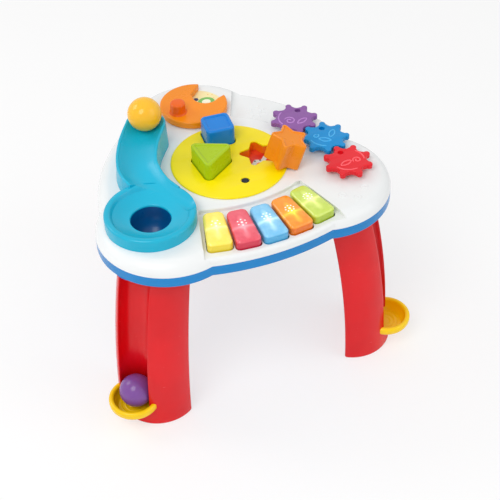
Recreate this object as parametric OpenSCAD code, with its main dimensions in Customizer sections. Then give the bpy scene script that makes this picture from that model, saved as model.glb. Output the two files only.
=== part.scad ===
/* [Table top] */
// Height of the white deck above the floor
deck_h = 330; // [310:1:360]
// Distance from the table's centre to the centres of the two front lobes
lobe_d = 138; // [136:1:140]
// Distance from the table's centre to the centre of the back lobe
back_lobe_d = 135; // [133:1:137]
// Radius of each lobe at the seam
lobe_r = 105; // [104:1:106]
// Radius of the long front arc
front_r = 370; // [360:1:380]
// Reach of the front arc from the table's centre
front_reach = 182; // [181:0.5:184]
// Radius of the two long side arcs
side_r = 280; // [275:1:285]
// Reach of the side arcs from the table's centre
side_reach = 192; // [190:1:194]
// Radius of the rolled upper edge
roll = 20; // [18:1:22]
// Height of the blue rim below the seam
rim_h = 18; // [17:1:22]
// Wall thickness of the shells
wall = 2.6; // [2.2:0.1:3]
// How far the two low shelves lie below the deck
shelf_drop = 7; // [5:0.5:8]
// Radius of the low shelves' rolled edge
shelf_roll = 6; // [5:0.5:8]
// Radius of the curved step behind the keys
step_r = 215; // [210:1:220]

/* [Legs and trays] */
// Distance of the foot's centre from the table's centre
foot_u = 194; // [190:1:196]
// Radius of the half-round leg
leg_r = 62; // [60:1:64]
// How far the flat inner side lies behind the leg's centre
leg_back = 6; // [4:1:8]
// How far the foot stands out from the leg's top
leg_splay = 33; // [31:1:34]
// How much each side of the leg draws in towards the top
leg_narrow = 6; // [5:0.5:7]
// Wall thickness of the legs
leg_wall = 3; // [2.5:0.1:4]
// Radius of the ball groove down the leg
groove_r = 28; // [27:0.5:29]
// Distance of a parked ball from the table's centre
groove_foot_u = 243; // [240:1:246]
// Distance of the groove's axis from the table's centre at the top
groove_top_u = 212; // [210:1:213]
// Height of the tray's floor
tray_floor = 29; // [25:1:32]
// Height of the tray's rim above its floor
tray_rim = 19; // [15:1:22]
// Outer radius of the tray
tray_r = 39; // [37:1:41]
// Width of the tray's rolled rim
tray_lip = 8; // [6:1:9]

/* [Balls and ramp] */
// Diameter of the balls
ball_d = 51.3; // [48:0.1:52]
// Outer radius of the bowl
bowl_r = 66; // [64:1:68]
// Width of the bowl's rim
bowl_lip = 10; // [8:1:12]
// Radius of the hole in the bowl
hole_r = 29; // [28:0.5:30]
// Height of the bowl's rim above the deck
bowl_h = 20; // [18:1:22]
// Height of the ramp's rim above the deck at its top end
ramp_h = 42; // [38:1:44]
// Half the outer width of the ramp
ramp_half = 30; // [29.5:0.5:31]
// Depth of the ramp's channel below its rims
ramp_depth = 10; // [9:1:12]

/* [Shape sorter] */
// Radius of the yellow disc
disc_r = 88; // [87:1:90]
// How far the disc stands above the deck
disc_t = 3; // [2.5:0.5:4]
// Depth of the wells below the disc's top
well_deep = 17; // [14:1:18]
// Clearance round each block in its hole
block_gap = 1; // [0.6:0.1:1.4]
// Side of the square block
square_side = 44.5; // [42:0.5:46]
// Distance from the triangle block's centre to its sharp corners
tri_r = 40; // [37:1:41]
// Distance from the star block's centre to its tips
star_r = 29; // [27:0.5:29.5]
// Height of the three blocks
block_h = 45; // [42:1:48]
// Backward lean of the star block in degrees
star_lean = 17; // [10:1:20]

/* [Dial and gears] */
// Radius of the orange dial
dial_r = 53; // [51:1:54]
// Thickness of the dial
dial_t = 11; // [9:1:12]
// Radius of the dial's knob
knob_r = 12; // [10:1:13]
// Height of the knob above the dial
knob_h = 18; // [15:1:20]
// Number of teeth on each gear
gear_teeth = 8; // [8:1:8]
// Radius of the gears at the tooth tips
gear_tip = 37; // [36.5:0.1:37.5]
// Radius of the gears' round body
gear_body = 30; // [29.5:0.1:30.5]
// Centre distance of two meshed gears
gear_pitch = 66; // [66:0.5:67]
// Thickness of the gears
gear_t = 8; // [7:0.5:9]
// Width of one gear tooth
tooth_w = 9.5; // [9:0.1:10]
// Radius of the posts that carry the gears and the dial
post_r = 5; // [4.5:0.1:5.5]
// Radial running clearance on posts and hinge pins
run_gap = 0.06; // [0.03:0.01:0.09]

/* [Keyboard] */
// Height of the keys above the low shelf
key_h = 15; // [14:0.5:18]
// Width of a key at its back end
key_back_w = 30.5; // [29:0.5:31]
// Width of a key at its front end
key_front_w = 38; // [36:0.5:38.5]
// Distance from the fan's centre to the front end of the middle key
key_front = 385; // [383:1:386]
// Distance from the fan's centre to the back end of the middle key
key_rear = 314; // [313:1:316]
// How far the outer keys are set back from the middle one
key_stagger = 5; // [4:0.5:6]
// Angle between neighbouring keys in degrees
key_pitch = 6.1; // [6.08:0.01:6.14]
// Clearance round each key in the shelf
key_gap = 0.5; // [0.3:0.1:0.8]
// Radius of the hinge pins
pin_r = 1.5; // [1.2:0.1:1.8]

/* [Power] */
// Diameter of one cell
cell_d = 14.5; // [14:0.1:14.5]
// Length of one cell
cell_len = 50.5; // [49:0.1:50.5]
// Number of cells side by side
cell_count = 3; // [2:1:3]
// Radius of the speaker
speaker_r = 20; // [18:1:22]

/* [Hidden] */
$fn = 96;
eps = 0.01;
seat = 0.3;
far = 600;

// Heights, from the floor up
seam_z = deck_h - roll;
base_z = seam_z - rim_h;
plate_z = base_z + wall;
shelf_z = deck_h - shelf_drop;
disc_z = deck_h + disc_t;

// Plan angles of the lobes, and the centres of the lobes and of the long arcs
left_a = -150;
right_a = -30;
back_a = 90;
lobe_angles = [left_a, right_a, back_a];
side_a = 32;
lobes = [polar(lobe_d, left_a), polar(lobe_d, right_a), polar(back_lobe_d, back_a)];
arcs = [[polar(front_reach - front_r, -90), front_r], [polar(side_reach - side_r, side_a), side_r],
  [polar(side_reach - side_r, 180 - side_a), side_r]];

// The part stands with the middle of its box over the origin
// A tray's middle is a little further out than the ball that rests at the groove's foot
tray_reach = 6;
tray_u = groove_foot_u + tray_reach;
shift_y = (front_reach - tray_u - tray_r) / 2;

// Places on the deck
disc_at = [8, 12];
bowl_at = [-144, -67];
dial_at = [7, 158];
blue_at = [157, -8];
square_at = [14, 72];
tri_at = [-22, 11];
star_at = [56, 10];
window_at = [12, -41];
fan_at = [6, 212];
// The arc keeps its front where it is, whatever its radius
step_front = -87;
step_at = [3, step_front + step_r];

function polar(r, a) = [r * cos(a), r * sin(a)];
function lerp(a, b, t) = a + (b - a) * t;

module placed() translate([0, shift_y, 0]) children();
module at_z(p, z) translate([p[0], p[1], z]) children();
module at_lobe(a) rotate([0, 0, a]) children();

// ---- Table top outline -------------------------------------------------

// Round slab from z0 to z1 whose upper edge is rolled over
module slab(r, edge, z0, z1) rotate_extrude($fn = 240) intersection() {
  union() {
    square([r - edge, z1]);
    square([r, z1 - edge]);
    translate([r - edge, z1 - edge]) circle(edge);
  }
  translate([0, z0]) square([r, z1 - z0]);
}

// Three lobes joined by three long side arcs, set in by a wall
module table_slab(in, edge, z0, z1) {
  for (c = lobes) at_z(c, 0) slab(lobe_r - in, edge, z0, z1);
  intersection_for(c = arcs) at_z(c[0], 0) slab(c[1] - in, edge, z0, z1);
}

module table_outline(in) {
  for (c = lobes) translate(c) circle(lobe_r - in);
  intersection_for(c = arcs) translate(c[0]) circle(c[1] - in, $fn = 240);
}

// Wedge in plan, its sides moved out by grow
module wedge(a, half, grow) rotate(a) translate([-grow / sin(half), 0])
  polygon([[0, 0], polar(far * 1.2, -half), polar(far * 1.2, half)]);

key_half = 2.5 * key_pitch + 0.6;
back_shelf_a = 52;
back_shelf_half = 14;
back_shelf_r = 128;

// The two low shelves in plan: the keyboard in front and a small one behind
module front_shelf(grow) difference() {
  translate(fan_at) wedge(-90, key_half, grow);
  translate(step_at) circle(step_r - grow);
}
module back_shelf(grow) difference() {
  wedge(back_shelf_a, back_shelf_half, grow);
  circle(back_shelf_r - grow);
}

// Solid of the white top, set in by a wall; each shelf has its own tighter roll
module shelf_slab(arc, in, z0) intersection() {
  at_z(arc[0], 0) slab(arc[1] - in, shelf_roll - in, z0, shelf_z - in);
  linear_extrude(far) children();
}
module dome(in, z0) {
  difference() {
    table_slab(in, roll - in, z0, deck_h - in);
    translate([0, 0, shelf_z - in]) linear_extrude(far) front_shelf(in);
    translate([0, 0, shelf_z - in]) linear_extrude(far) back_shelf(in);
  }
  shelf_slab(arcs[0], in, z0) front_shelf(-in);
  shelf_slab(arcs[1], in, z0) back_shelf(-in);
}

// ---- Small shared shapes -----------------------------------------------

module tube(r_out, r_in, h) difference() {
  cylinder(r = r_out, h = h);
  translate([0, 0, -eps]) cylinder(r = r_in, h = h + 2 * eps);
}

// Rounded square and rounded triangle in plan
module round_square(side, r) {
  h = side / 2 - r;
  square([side, 2 * h], center = true);
  square([2 * h, side], center = true);
  for (x = [-h, h], y = [-h, h]) translate([x, y]) circle(r);
}
// Round corner of radius r about a point that faces angle a, turning through both sides
corner_seg = 6;
function corner(c, r, a, turn) = [for (j = [-corner_seg:corner_seg]) c + polar(r, a + turn * j / corner_seg)];
module round_triangle(tip, r)
  polygon([for (k = [0:2]) each corner(polar(tip - 2 * r, 120 * k), r, 120 * k, 60)]);

// Five-pointed star with rounded tips, grown by a clearance
star_tip_r = 4.5;
star_waist = 0.62;
star_tip_turn = 70;
module star(tip, grow) polygon([for (k = [0:4])
  each concat(corner(polar(tip - star_tip_r, 72 * k), star_tip_r + grow, 72 * k, star_tip_turn),
    [polar(tip * star_waist + grow, 72 * k + 36)])]);

square_turn = -5;
tri_turn = 4;
star_turn = 14;
corner_r = 8;
tri_corner = 7;
module square_shape(grow) rotate(square_turn)
  round_square(square_side + 2 * grow, corner_r + grow);
module tri_shape(grow) rotate(tri_turn) round_triangle(tri_r + 2 * grow, tri_corner + grow);
module star_shape(grow) rotate(star_turn) star(star_r, grow);

well_wall = 2;
module well(cut_at) {
  top = disc_z - disc_t - seat;
  bottom = disc_z - well_deep - well_wall;
  at_z(cut_at, bottom) difference() {
    linear_extrude(top - bottom) children(0);
    translate([0, 0, well_wall]) linear_extrude(far) children(1);
  }
}

// ---- Shells -------------------------------------------------------------

screw_u = 146;
screw_v = 52;
screw_r = 1.5;
screw_head_r = 3;
screw_head_h = 2.2;
boss_r = 4.6;
head_z = base_z + 12;
module at_screws() for (a = lobe_angles, s = [-1, 1])
  at_lobe(a) translate([screw_u, s * screw_v, 0]) children();

// Gear centres, phases and posts
gear_red_a = -84.8;
gear_purple_a = 110.9;
red_at = blue_at + polar(gear_pitch, gear_red_a);
purple_at = blue_at + polar(gear_pitch, gear_purple_a);
half_tooth = 180 / gear_teeth;
blue_phase = gear_red_a + half_tooth;
red_phase = gear_red_a + 180;
purple_phase = gear_purple_a + 180 - (blue_phase - gear_purple_a) + half_tooth;
gear_z = deck_h + 7;
dial_z = deck_h + 2;
post_flange_r = 8;
post_flange_t = 2;
gear_posts_at = [purple_at, blue_at, red_at];

cup_r = hole_r + 2;
module top_shell() color("white") placed() difference() {
  union() {
    difference() {
      dome(0, seam_z);
      dome(wall, seam_z - eps);
    }
    // screw bosses and the collars round the posts
    intersection() {
      union() {
        at_screws() translate([0, 0, seam_z]) cylinder(r = boss_r, h = roll);
        at_frame_screws() translate([0, 0, frame_z + frame_t]) cylinder(r = frame_post_r, h = roll);
        for (p = concat(gear_posts_at, [dial_at])) at_z(p, deck_h - wall - 4)
          cylinder(r = post_r + 3, h = wall + 4);
      }
      dome(wall / 2, seam_z - roll);
    }
    for (p = gear_posts_at) at_z(p, deck_h - eps) cylinder(r = post_r + 4, h = gear_z - deck_h - seat);
  }
  at_screws() translate([0, 0, seam_z - eps]) cylinder(r = screw_r, h = 9);
  for (p = concat(gear_posts_at, [dial_at])) at_z(p, deck_h - 2 * roll)
    cylinder(r = post_r, h = far);
  at_z(square_at, seam_z) linear_extrude(far) square_shape(block_gap + well_wall + seat);
  at_z(tri_at, seam_z) linear_extrude(far) tri_shape(block_gap + well_wall + seat);
  at_z(star_at, seam_z) linear_extrude(far) star_shape(block_gap + well_wall + seat);
  at_z(window_at, seam_z) cylinder(r = window_r, h = far);
  at_z(bowl_at, seam_z) cylinder(r = cup_r + seat, h = far);
  for (k = [0:4]) key_place(k) translate([0, 0, seam_z]) linear_extrude(far)
    key_outline(k, key_gap, key_swing);
  at_frame_screws() translate([0, 0, frame_z]) cylinder(r = screw_r, h = frame_t + frame_grip);
}

// Round sleeves that take the stubs on top of the legs
stub_u = 180;
stub_v = 46;
stub_r = 4.4;
stub_h = 13.5;
sleeve_h = 15;
sleeve_gap = 0.1;
sleeve_r = stub_r + sleeve_gap + 2.4;
module at_stubs() for (s = [-1, 1]) translate([stub_u, s * stub_v, 0]) children();

door_l = cell_len + 28;
door_w = cell_count * cell_d + 10;
door_t = 2;
box_at = [6, 48];
door_screw_at = box_at + [door_l / 2 - 4, 0];
door_post_r = 4;
door_post_h = 6;
speaker_at = [62, -34];
speaker_h = 9;
board_at = [-48, -6];
board_l = 56;
board_w = 44;
board_t = 1.6;
board_z = plate_z + 6;
switch_at = [6, -6];
switch_slot = 14;
switch_w = 6;

module post(z0, z1, r) translate([0, 0, z0 - eps]) cylinder(r = r, h = z1 - z0 + eps);
board_post_r = 3;
board_pin_r = 1;
board_pin_in = 4;
module at_board_corners() for (x = [-1, 1], y = [-1, 1])
  translate(board_at + [x * (board_l / 2 - board_pin_in), y * (board_w / 2 - board_pin_in)]) children();
grille_r = 1.6;
grille_step = 6;

module bottom_shell() color("deepskyblue") placed() difference() {
  union() {
    difference() {
      translate([0, 0, base_z]) linear_extrude(rim_h) table_outline(0);
      translate([0, 0, plate_z]) linear_extrude(rim_h) table_outline(wall);
    }
    intersection() {
      at_screws() translate([0, 0, base_z]) cylinder(r = boss_r, h = rim_h);
      translate([0, 0, base_z]) linear_extrude(rim_h) table_outline(wall / 2);
    }
    for (a = lobe_angles) at_lobe(a) at_stubs() translate([0, 0, base_z])
      cylinder(r = sleeve_r, h = sleeve_h);
    at_board_corners() post(plate_z, board_z, board_post_r);
    for (p = board_screws) translate(p) post(plate_z, kb_z, kb_post_r);
    translate(door_screw_at) post(plate_z, plate_z + door_post_h, door_post_r);
  }
  at_screws() {
    translate([0, 0, base_z - eps]) cylinder(r = screw_head_r + 0.4, h = head_z - base_z + 2 * eps);
    cylinder(r = screw_r + 0.2, h = far);
  }
  for (a = lobe_angles) at_lobe(a) at_stubs() cylinder(r = stub_r + sleeve_gap, h = far);
  // openings: battery door, speaker grille, switch slot, ball exit
  at_z(box_at, base_z) cube([door_l + 1, door_w + 1, 2 * door_t], center = true);
  at_z(box_at, base_z) cube([cell_len + 6, cell_count * cell_d + 2, far], center = true);
  at_z(door_screw_at, 0) cylinder(r = screw_r, h = plate_z + door_post_h - 1);
  for (k = [1, 2], j = [1:6 * k]) at_z(speaker_at + polar(grille_step * k, 60 / k * j), 0)
    cylinder(r = grille_r, h = far);
  at_z(switch_at, base_z) cube([switch_slot, switch_w, far], center = true);
  at_board_corners() translate([0, 0, board_z - 4]) cylinder(r = board_pin_r, h = far);
  for (p = board_screws) at_z(p, kb_z - kb_grip) cylinder(r = screw_r, h = far);
  at_lobe(left_a) translate([0, 0, base_z - eps]) linear_extrude(wall + 1) ball_exit();
  chute_core(chute_wall + seat);
}

// Screw that points up, with its head's seat at z = 0 and a cross in the head
cross_l = 4;
cross_w = 0.8;
module screw(length) {
  translate([0, 0, -screw_head_h]) difference() {
    cylinder(r = screw_head_r, h = screw_head_h);
    cube([cross_w, cross_l, screw_head_h], center = true);
    cube([cross_l, cross_w, screw_head_h], center = true);
  }
  cylinder(r = screw_r, h = length);
}
module shell_screws() color("silver") placed() at_screws() translate([0, 0, head_z])
  screw(seam_z + 8 - head_z);

// ---- Shape sorter ---------------------------------------------------------

module sorter_disc() color("yellow") placed() difference() {
  at_z(disc_at, 0) slab(disc_r, disc_t - 0.4, deck_h, disc_z);
  at_z(square_at, 0) linear_extrude(far) square_shape(block_gap);
  at_z(tri_at, 0) linear_extrude(far) tri_shape(block_gap);
  at_z(star_at, 0) linear_extrude(far) star_shape(block_gap);
  at_z(window_at, 0) cylinder(r = window_r - 1, h = far);
}

window_r = 6;
module light_window() color("midnightblue") placed() at_z(window_at, deck_h - wall) {
  cylinder(r = window_r - 0.1, h = wall);
  translate([0, 0, wall - eps]) cylinder(r = window_r - 1, h = disc_t - 0.5);
}

module square_well() color("royalblue") placed() well(square_at) {
  square_shape(block_gap + well_wall);
  square_shape(block_gap);
}
module triangle_well() color("yellowgreen") placed() well(tri_at) {
  tri_shape(block_gap + well_wall);
  tri_shape(block_gap);
}
module star_well() color("orange") placed() well(star_at) {
  star_shape(block_gap + well_wall);
  star_shape(block_gap);
}
floor_t = 1;
module star_floor() color("red") placed() at_z(star_at, disc_z - well_deep)
  linear_extrude(floor_t) star_shape(block_gap - 0.2);

// Block: straight sides, a bevelled top and a sunk face
module block_body(h) {
  linear_extrude(h - 3) children(0);
  translate([0, 0, h - 3 - eps]) linear_extrude(3) children(1);
}
module square_block() color("dodgerblue") placed()
  at_z(square_at, disc_z - well_deep + seat) difference() {
    block_body(block_h) { square_shape(0); square_shape(-2); }
    translate([0, 0, block_h - 2]) linear_extrude(3) square_shape(-8);
  }
module triangle_block() color("yellowgreen") placed()
  at_z(tri_at, disc_z - well_deep + seat) difference() {
    block_body(block_h) { tri_shape(0); tri_shape(-2); }
    translate([0, 0, block_h - 2]) linear_extrude(3) rotate(tri_turn) round_triangle(tri_r - 14, 3);
  }

// The star block leans on the deck, with two of its tips down
star_block_at = [77, -25];
star_block_turn = 14;
star_lean_a = star_block_turn - 36;
star_foot = (star_r - star_tip_r) * cos(36) + star_tip_r;
module star_block() color("darkorange") placed() at_z(star_block_at, deck_h + seat)
  rotate([0, 0, star_lean_a]) translate([star_foot, 0, 0]) rotate([0, star_lean, 0])
  translate([-star_foot, 0, 0]) rotate([0, 0, star_block_turn - star_lean_a]) {
    block_body(block_h) { star(star_r, 0); star(star_r - 2, 0); }
  }

// ---- Ball ramp, bowl and chute ---------------------------------------------

// The ramp's middle line in plan, from its top end to the bowl
ramp_line = [[-90, 102], [-112, 71], [-127, 38], [-129.5, 12], [-121, -19], [-106, -46]];
// Share of the ramp's fall at each of those points
ramp_fall = [0, 0.26, 0.52, 0.68, 0.88, 1];
ramp_steps = 4;
ramp_n = len(ramp_line);

// Smooth curve through a list of points, and its direction
function pick(list, i) = list[max(0, min(len(list) - 1, i))];
function smooth(list, t) = let (i = min(floor(t), len(list) - 2), u = t - i,
    a = pick(list, i - 1), b = pick(list, i), c = pick(list, i + 1), d = pick(list, i + 2))
  0.5 * (2 * b + (c - a) * u + (2 * a - 5 * b + 4 * c - d) * u * u
    + (3 * b - a - 3 * c + d) * u * u * u);
function heading(t) = let (d = smooth(ramp_line, min(t + 0.02, ramp_n - 1))
    - smooth(ramp_line, max(t - 0.02, 0))) atan2(d[1], d[0]);
function ramp_top(t) = deck_h + lerp(ramp_h, bowl_h, smooth(ramp_fall, t));
function half_at(t) = lerp(ramp_half, ramp_half * 0.72, max(0, (t - 3) / (ramp_n - 4)));

// Sections of the ramp as [parameter, distance behind its top end, half width]; the top end is round
end_angles = [80, 62, 44, 26];
function ramp_stops(in) = concat(
  [for (a = end_angles) [0, (ramp_half - in) * sin(a), (ramp_half - in) * cos(a)]],
  [for (k = [0:ramp_last]) [k / ramp_steps, 0, half_at(k / ramp_steps) - in]]);

// Solid carried along the ramp's stops; each section is a list of [sideways, height]
module along_ramp(stops, sections) {
  m = len(sections[0]);
  n = len(sections);
  points = [for (k = [0:n - 1]) let (t = stops[k][0], a = heading(t),
      c = smooth(ramp_line, t) - polar(stops[k][1], a))
    for (q = sections[k]) [c[0] + q[0] * cos(a + 90), c[1] + q[0] * sin(a + 90), q[1]]];
  sides = [for (k = [0:n - 2], j = [0:m - 1]) let (b = (j + 1) % m)
    each [[k * m + j, (k + 1) * m + j, k * m + b], [k * m + b, (k + 1) * m + j, (k + 1) * m + b]]];
  start = [for (j = [0:m - 1]) j];
  end = [for (j = [m - 1:-1:0]) (n - 1) * m + j];
  polyhedron(points, concat(sides, [start, end]), convexity = 6);
}
ramp_last = (ramp_n - 1) * ramp_steps;
ramp_lip = 4;
ramp_draft = 2.5;
channel_seg = 8;
function channel(half, top, depth, whole) = [for (j = [0:channel_seg])
  let (x = lerp(-half, half, j / channel_seg)) [x, top - depth * (1 - pow(x / whole, 2))]];
module ramp_outer() {
  stops = ramp_stops(0);
  along_ramp(stops, [for (q = stops) let (w = q[2], z = ramp_top(q[0]), b = min(2, w / 3))
    [[-w - ramp_draft, deck_h], [w + ramp_draft, deck_h], [w, z - 2], [w - b, z], [b - w, z], [-w, z - 2]]]);
}
module ramp_channel() {
  stops = [for (q = ramp_stops(ramp_lip)) if (q[0] < ramp_n - 1.3) q];
  along_ramp(stops, [for (q = stops) let (z = ramp_top(q[0]) + eps,
      whole = norm([q[1], q[2]]), depth = ramp_depth)
    concat([for (p = channel(q[2], z, depth, whole)) [p[0], p[1] + depth * pow(q[1] / whole, 2)]],
      [[q[2], z + 40], [-q[2], z + 40]])]);
}
module ramp_under() {
  stops = ramp_stops(wall);
  along_ramp(stops, [for (q = stops) let (w = q[2], z = ramp_top(q[0]) - ramp_depth - wall)
    [[-w, deck_h - 5], [w, deck_h - 5], [w, z], [-w, z]]]);
}

rim_z = deck_h + bowl_h;
bowl_in = bowl_r - bowl_lip;
bowl_floor = deck_h + 5;
bowl_out = deck_h + 13;
start_z = deck_h + ramp_h;

// Bowl as a turned shape
module bowl_channel() at_z(bowl_at, 0) rotate_extrude() polygon([[0, bowl_floor - far / 2],
  [hole_r, bowl_floor - far / 2], [hole_r, bowl_floor], [bowl_in - 4, bowl_out], [bowl_in, rim_z],
  [bowl_in, far], [0, far]]);
module bowl_under() at_z(bowl_at, 0) rotate_extrude() polygon([[0, deck_h - 5],
  [bowl_r - wall, deck_h - 5], [bowl_r - wall, rim_z - wall], [bowl_in + wall, rim_z - wall],
  [bowl_in - 3, bowl_out - wall], [hole_r + wall, bowl_floor - wall], [0, bowl_floor - wall]]);
module bowl_drum() at_z(bowl_at, 0) rotate_extrude()
  polygon([[0, deck_h], [bowl_r, deck_h], [bowl_r, rim_z - 3], [bowl_r - 3, rim_z], [0, rim_z]]);

module ball_ramp() color("turquoise") placed() difference() {
  union() {
    bowl_drum();
    ramp_outer();
  }
  bowl_channel();
  ramp_channel();
  bowl_under();
  difference() {
    ramp_under();
    at_z(bowl_at, 0) cylinder(r = bowl_r - wall, h = far);
  }
}

// The chute takes a ball from the bowl's hole to the top of the left leg
chute_wall = 2;
chute_r = ball_d / 2 + 1.85;
chute_drop = 12;
chute_fall = 36;
exit_at = polar(groove_top_u, left_a);
chute_a = atan2(exit_at[1] - bowl_at[1], exit_at[0] - bowl_at[0]);
chute_len = 52;
module chute_core(grow) at_z(bowl_at, deck_h - chute_drop) {
  cylinder(r = hole_r + grow, h = far);
  sphere(hole_r + grow);
  rotate([0, 0, chute_a]) rotate([0, 90 + chute_fall, 0]) cylinder(r = chute_r + grow, h = chute_len);
}
module ball_exit() {
  translate([groove_top_u, 0]) circle(groove_r + 0.5);
}
module drop_chute() color("navy") placed() difference() {
  intersection() {
    chute_core(chute_wall);
    union() {
      translate([-far, -far, 0]) cube([2 * far, 2 * far, deck_h - wall - 1]);
      at_z(bowl_at, 0) cylinder(r = cup_r, h = bowl_floor - wall - seat);
    }
  }
  chute_core(0);
  at_lobe(left_a) translate([0, 0, base_z]) linear_extrude(far) ball_exit();
  at_lobe(left_a) translate([leg_top_back - seat, -far / 2, -seat])
    cube([far, far, plate_z]);
  at_z(bowl_at, bowl_floor - wall - 2 * eps) cylinder(r = cup_r + 1, h = far);
}

// ---- Dial and gears ---------------------------------------------------------

plate_t = 1.6;
module picture_plate() color("moccasin") placed() at_z(dial_at, deck_h)
  tube(dial_r - 3, post_flange_r + 1, plate_t);

// Window in the dial, as plan points from the dial's centre
dial_window = [[3, 22], [31, 50], [70, 75], [90, 20], [52, 2.5], [40, -2]];
window_c = [25, 12];
window_cr = 20.5;
knob_at = [-30, -12];
module dial() color("orange") placed() at_z(dial_at, 0) difference() {
  union() {
    slab(dial_r, 4, dial_z, dial_z + dial_t);
    at_z(knob_at, 0) slab(knob_r, 3, dial_z + dial_t - eps, dial_z + dial_t + knob_h);
  }
  linear_extrude(far) {
    polygon(dial_window);
    translate(window_c) circle(window_cr);
  }
  translate([0, 0, dial_z - eps]) cylinder(r = post_r + run_gap, h = dial_t - 3);
}

// Post with a flange under the deck
module post_pin(top_z) {
  low = deck_h - wall - 4 - post_flange_t;
  translate([0, 0, low]) cylinder(r = post_flange_r, h = post_flange_t);
  translate([0, 0, low]) cylinder(r = post_r, h = top_z - low);
}
module dial_post() color("dimgray") placed() at_z(dial_at, 0) post_pin(dial_z + dial_t - 4);
module gear_posts() color("dimgray") placed()
  for (p = gear_posts_at) at_z(p, 0) post_pin(gear_z + gear_t - 3);

valley_r = 7.6;
valley_d = 34.5;
finger_r = 4.5;
finger_d = 20;
finger_a = [50, 80, 97];
module gear(p, phase, finger) at_z(p, gear_z) difference() {
  linear_extrude(gear_t) rotate(phase) {
    difference() {
      circle(gear_body);
      for (k = [1:gear_teeth]) rotate(360 / gear_teeth * k + half_tooth)
        translate([valley_d, 0]) circle(valley_r);
    }
    for (k = [1:gear_teeth]) rotate(360 / gear_teeth * k) {
      translate([gear_body / 2, -tooth_w / 2])
        square([gear_tip - tooth_w / 2 - gear_body / 2, tooth_w]);
      translate([gear_tip - tooth_w / 2, 0]) circle(tooth_w / 2);
    }
  }
  translate([0, 0, -eps]) cylinder(r = post_r + run_gap, h = gear_t - 2);
  at_z(polar(finger_d, finger), gear_t - 5) cylinder(r = finger_r, h = far);
}
module purple_gear() color("mediumorchid") placed() gear(purple_at, purple_phase, finger_a[0]);
module blue_gear() color("dodgerblue") placed() gear(blue_at, blue_phase, finger_a[1]);
module red_gear() color("crimson") placed() gear(red_at, red_phase, finger_a[2]);

// ---- Keyboard -----------------------------------------------------------------

key_colors = ["gold", "palevioletred", "skyblue", "darkorange", "yellowgreen"];
key_wall = 2;
key_low = 3.5;
key_swing = 1.2;
key_z = shelf_z + key_h;
key_bottom = shelf_z - wall - key_low;
hinge_z = key_bottom - 6;
hinge_in = 9;
lug_w = 14;
lug_r = 4;
lip_in = 12;
lip_out = 2.5;
lip_w = 16;
hollow_in = hinge_in + lug_r + 1;
hollow_front = 7;
crown = 5;
key_back_corner = 9;
key_front_corner = 7;
dome_in = 14;
lamp_in = 31;
dome_h = 7;
dome_r = 4.5;
plunger_r = 3;
ear_t = 3;
ear_gap = 0.4;
kb_z = plate_z + 5;
kb_top = kb_z + board_t;
kb_post_r = 3.5;
kb_grip = 4;
dome_top = kb_top + dome_h;

// Direction of key k, the distances of its two ends and its half width
function key_a(k) = (k - 2) * key_pitch;
function key_set(k) = key_stagger * pow((k - 2) / 2, 2);
function key_back(k) = key_rear - key_set(k);
function key_tip(k) = key_front - key_set(k);
function key_half_at(r) = lerp(key_back_w, key_front_w, (r - key_rear) / (key_front - key_rear)) / 2;

// Frame of key k: +X runs from the hinge to the front, Y is the hinge's axis
module key_place(k) translate(fan_at) rotate([0, 0, key_a(k) - 90]) children();
module key_outline(k, grow, front) {
  b = key_back(k) - grow;
  f = key_tip(k) + grow + front;
  rb = key_back_corner + grow;
  rf = key_front_corner + grow;
  hull() {
    for (s = [-1, 1]) {
      translate([b + rb, s * (key_half_at(b) + grow - rb)]) circle(rb, $fn = 32);
      translate([f - rf, s * (key_half_at(f) + grow - rf)]) circle(rf, $fn = 32);
    }
  }
}
module key(k) {
  color(key_colors[k]) placed() key_place(k) difference() {
    union() {
      translate([0, 0, key_bottom]) linear_extrude(key_z - crown - key_bottom) key_outline(k, 0, 0);
      translate([0, 0, key_z - crown - eps]) linear_extrude(crown / 2) key_outline(k, -1.2, 0);
      translate([0, 0, key_z - crown / 2 - 2 * eps]) linear_extrude(crown / 2) key_outline(k, -3.5, 0);
      // hinge lug, and the lip that stops the key under the shelf
      translate([key_back(k) + hinge_in, 0, hinge_z]) rotate([90, 0, 0])
        cylinder(r = lug_r, h = lug_w, center = true);
      translate([key_back(k) + hinge_in - lug_r, -lug_w / 2, hinge_z])
        cube([2 * lug_r, lug_w, key_bottom - hinge_z + 1]);
      translate([key_tip(k) - lip_in, -lip_w / 2, key_bottom])
        cube([lip_in + lip_out, lip_w, shelf_z - wall - seat - key_bottom]);
    }
    // hollow from below, open round the lamp and the plunger
    translate([key_back(k) + hollow_in, key_wall + 2 - key_back_w / 2, key_bottom - eps])
      cube([key_tip(k) - key_back(k) - hollow_in - hollow_front, key_back_w - 2 * key_wall - 4,
            key_z - crown - key_bottom - key_wall]);
    translate([key_back(k) + hinge_in, 0, hinge_z]) rotate([90, 0, 0])
      cylinder(r = pin_r + run_gap, h = far, center = true);
  }
  color(key_colors[k]) placed() key_place(k) translate([key_tip(k) - dome_in, 0, dome_top])
    cylinder(r = plunger_r, h = key_z - crown - key_wall - dome_top + 0.5);
}
module key_1() key(0);
module key_2() key(1);
module key_3() key(2);
module key_4() key(3);
module key_5() key(4);

pin_l = lug_w + 2 * ear_gap + 2 * ear_t;
module key_pins() color("silver") placed() for (k = [0:4]) key_place(k)
  translate([key_back(k) + hinge_in, 0, hinge_z]) rotate([90, 0, 0])
    cylinder(r = pin_r, h = pin_l, center = true);

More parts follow.
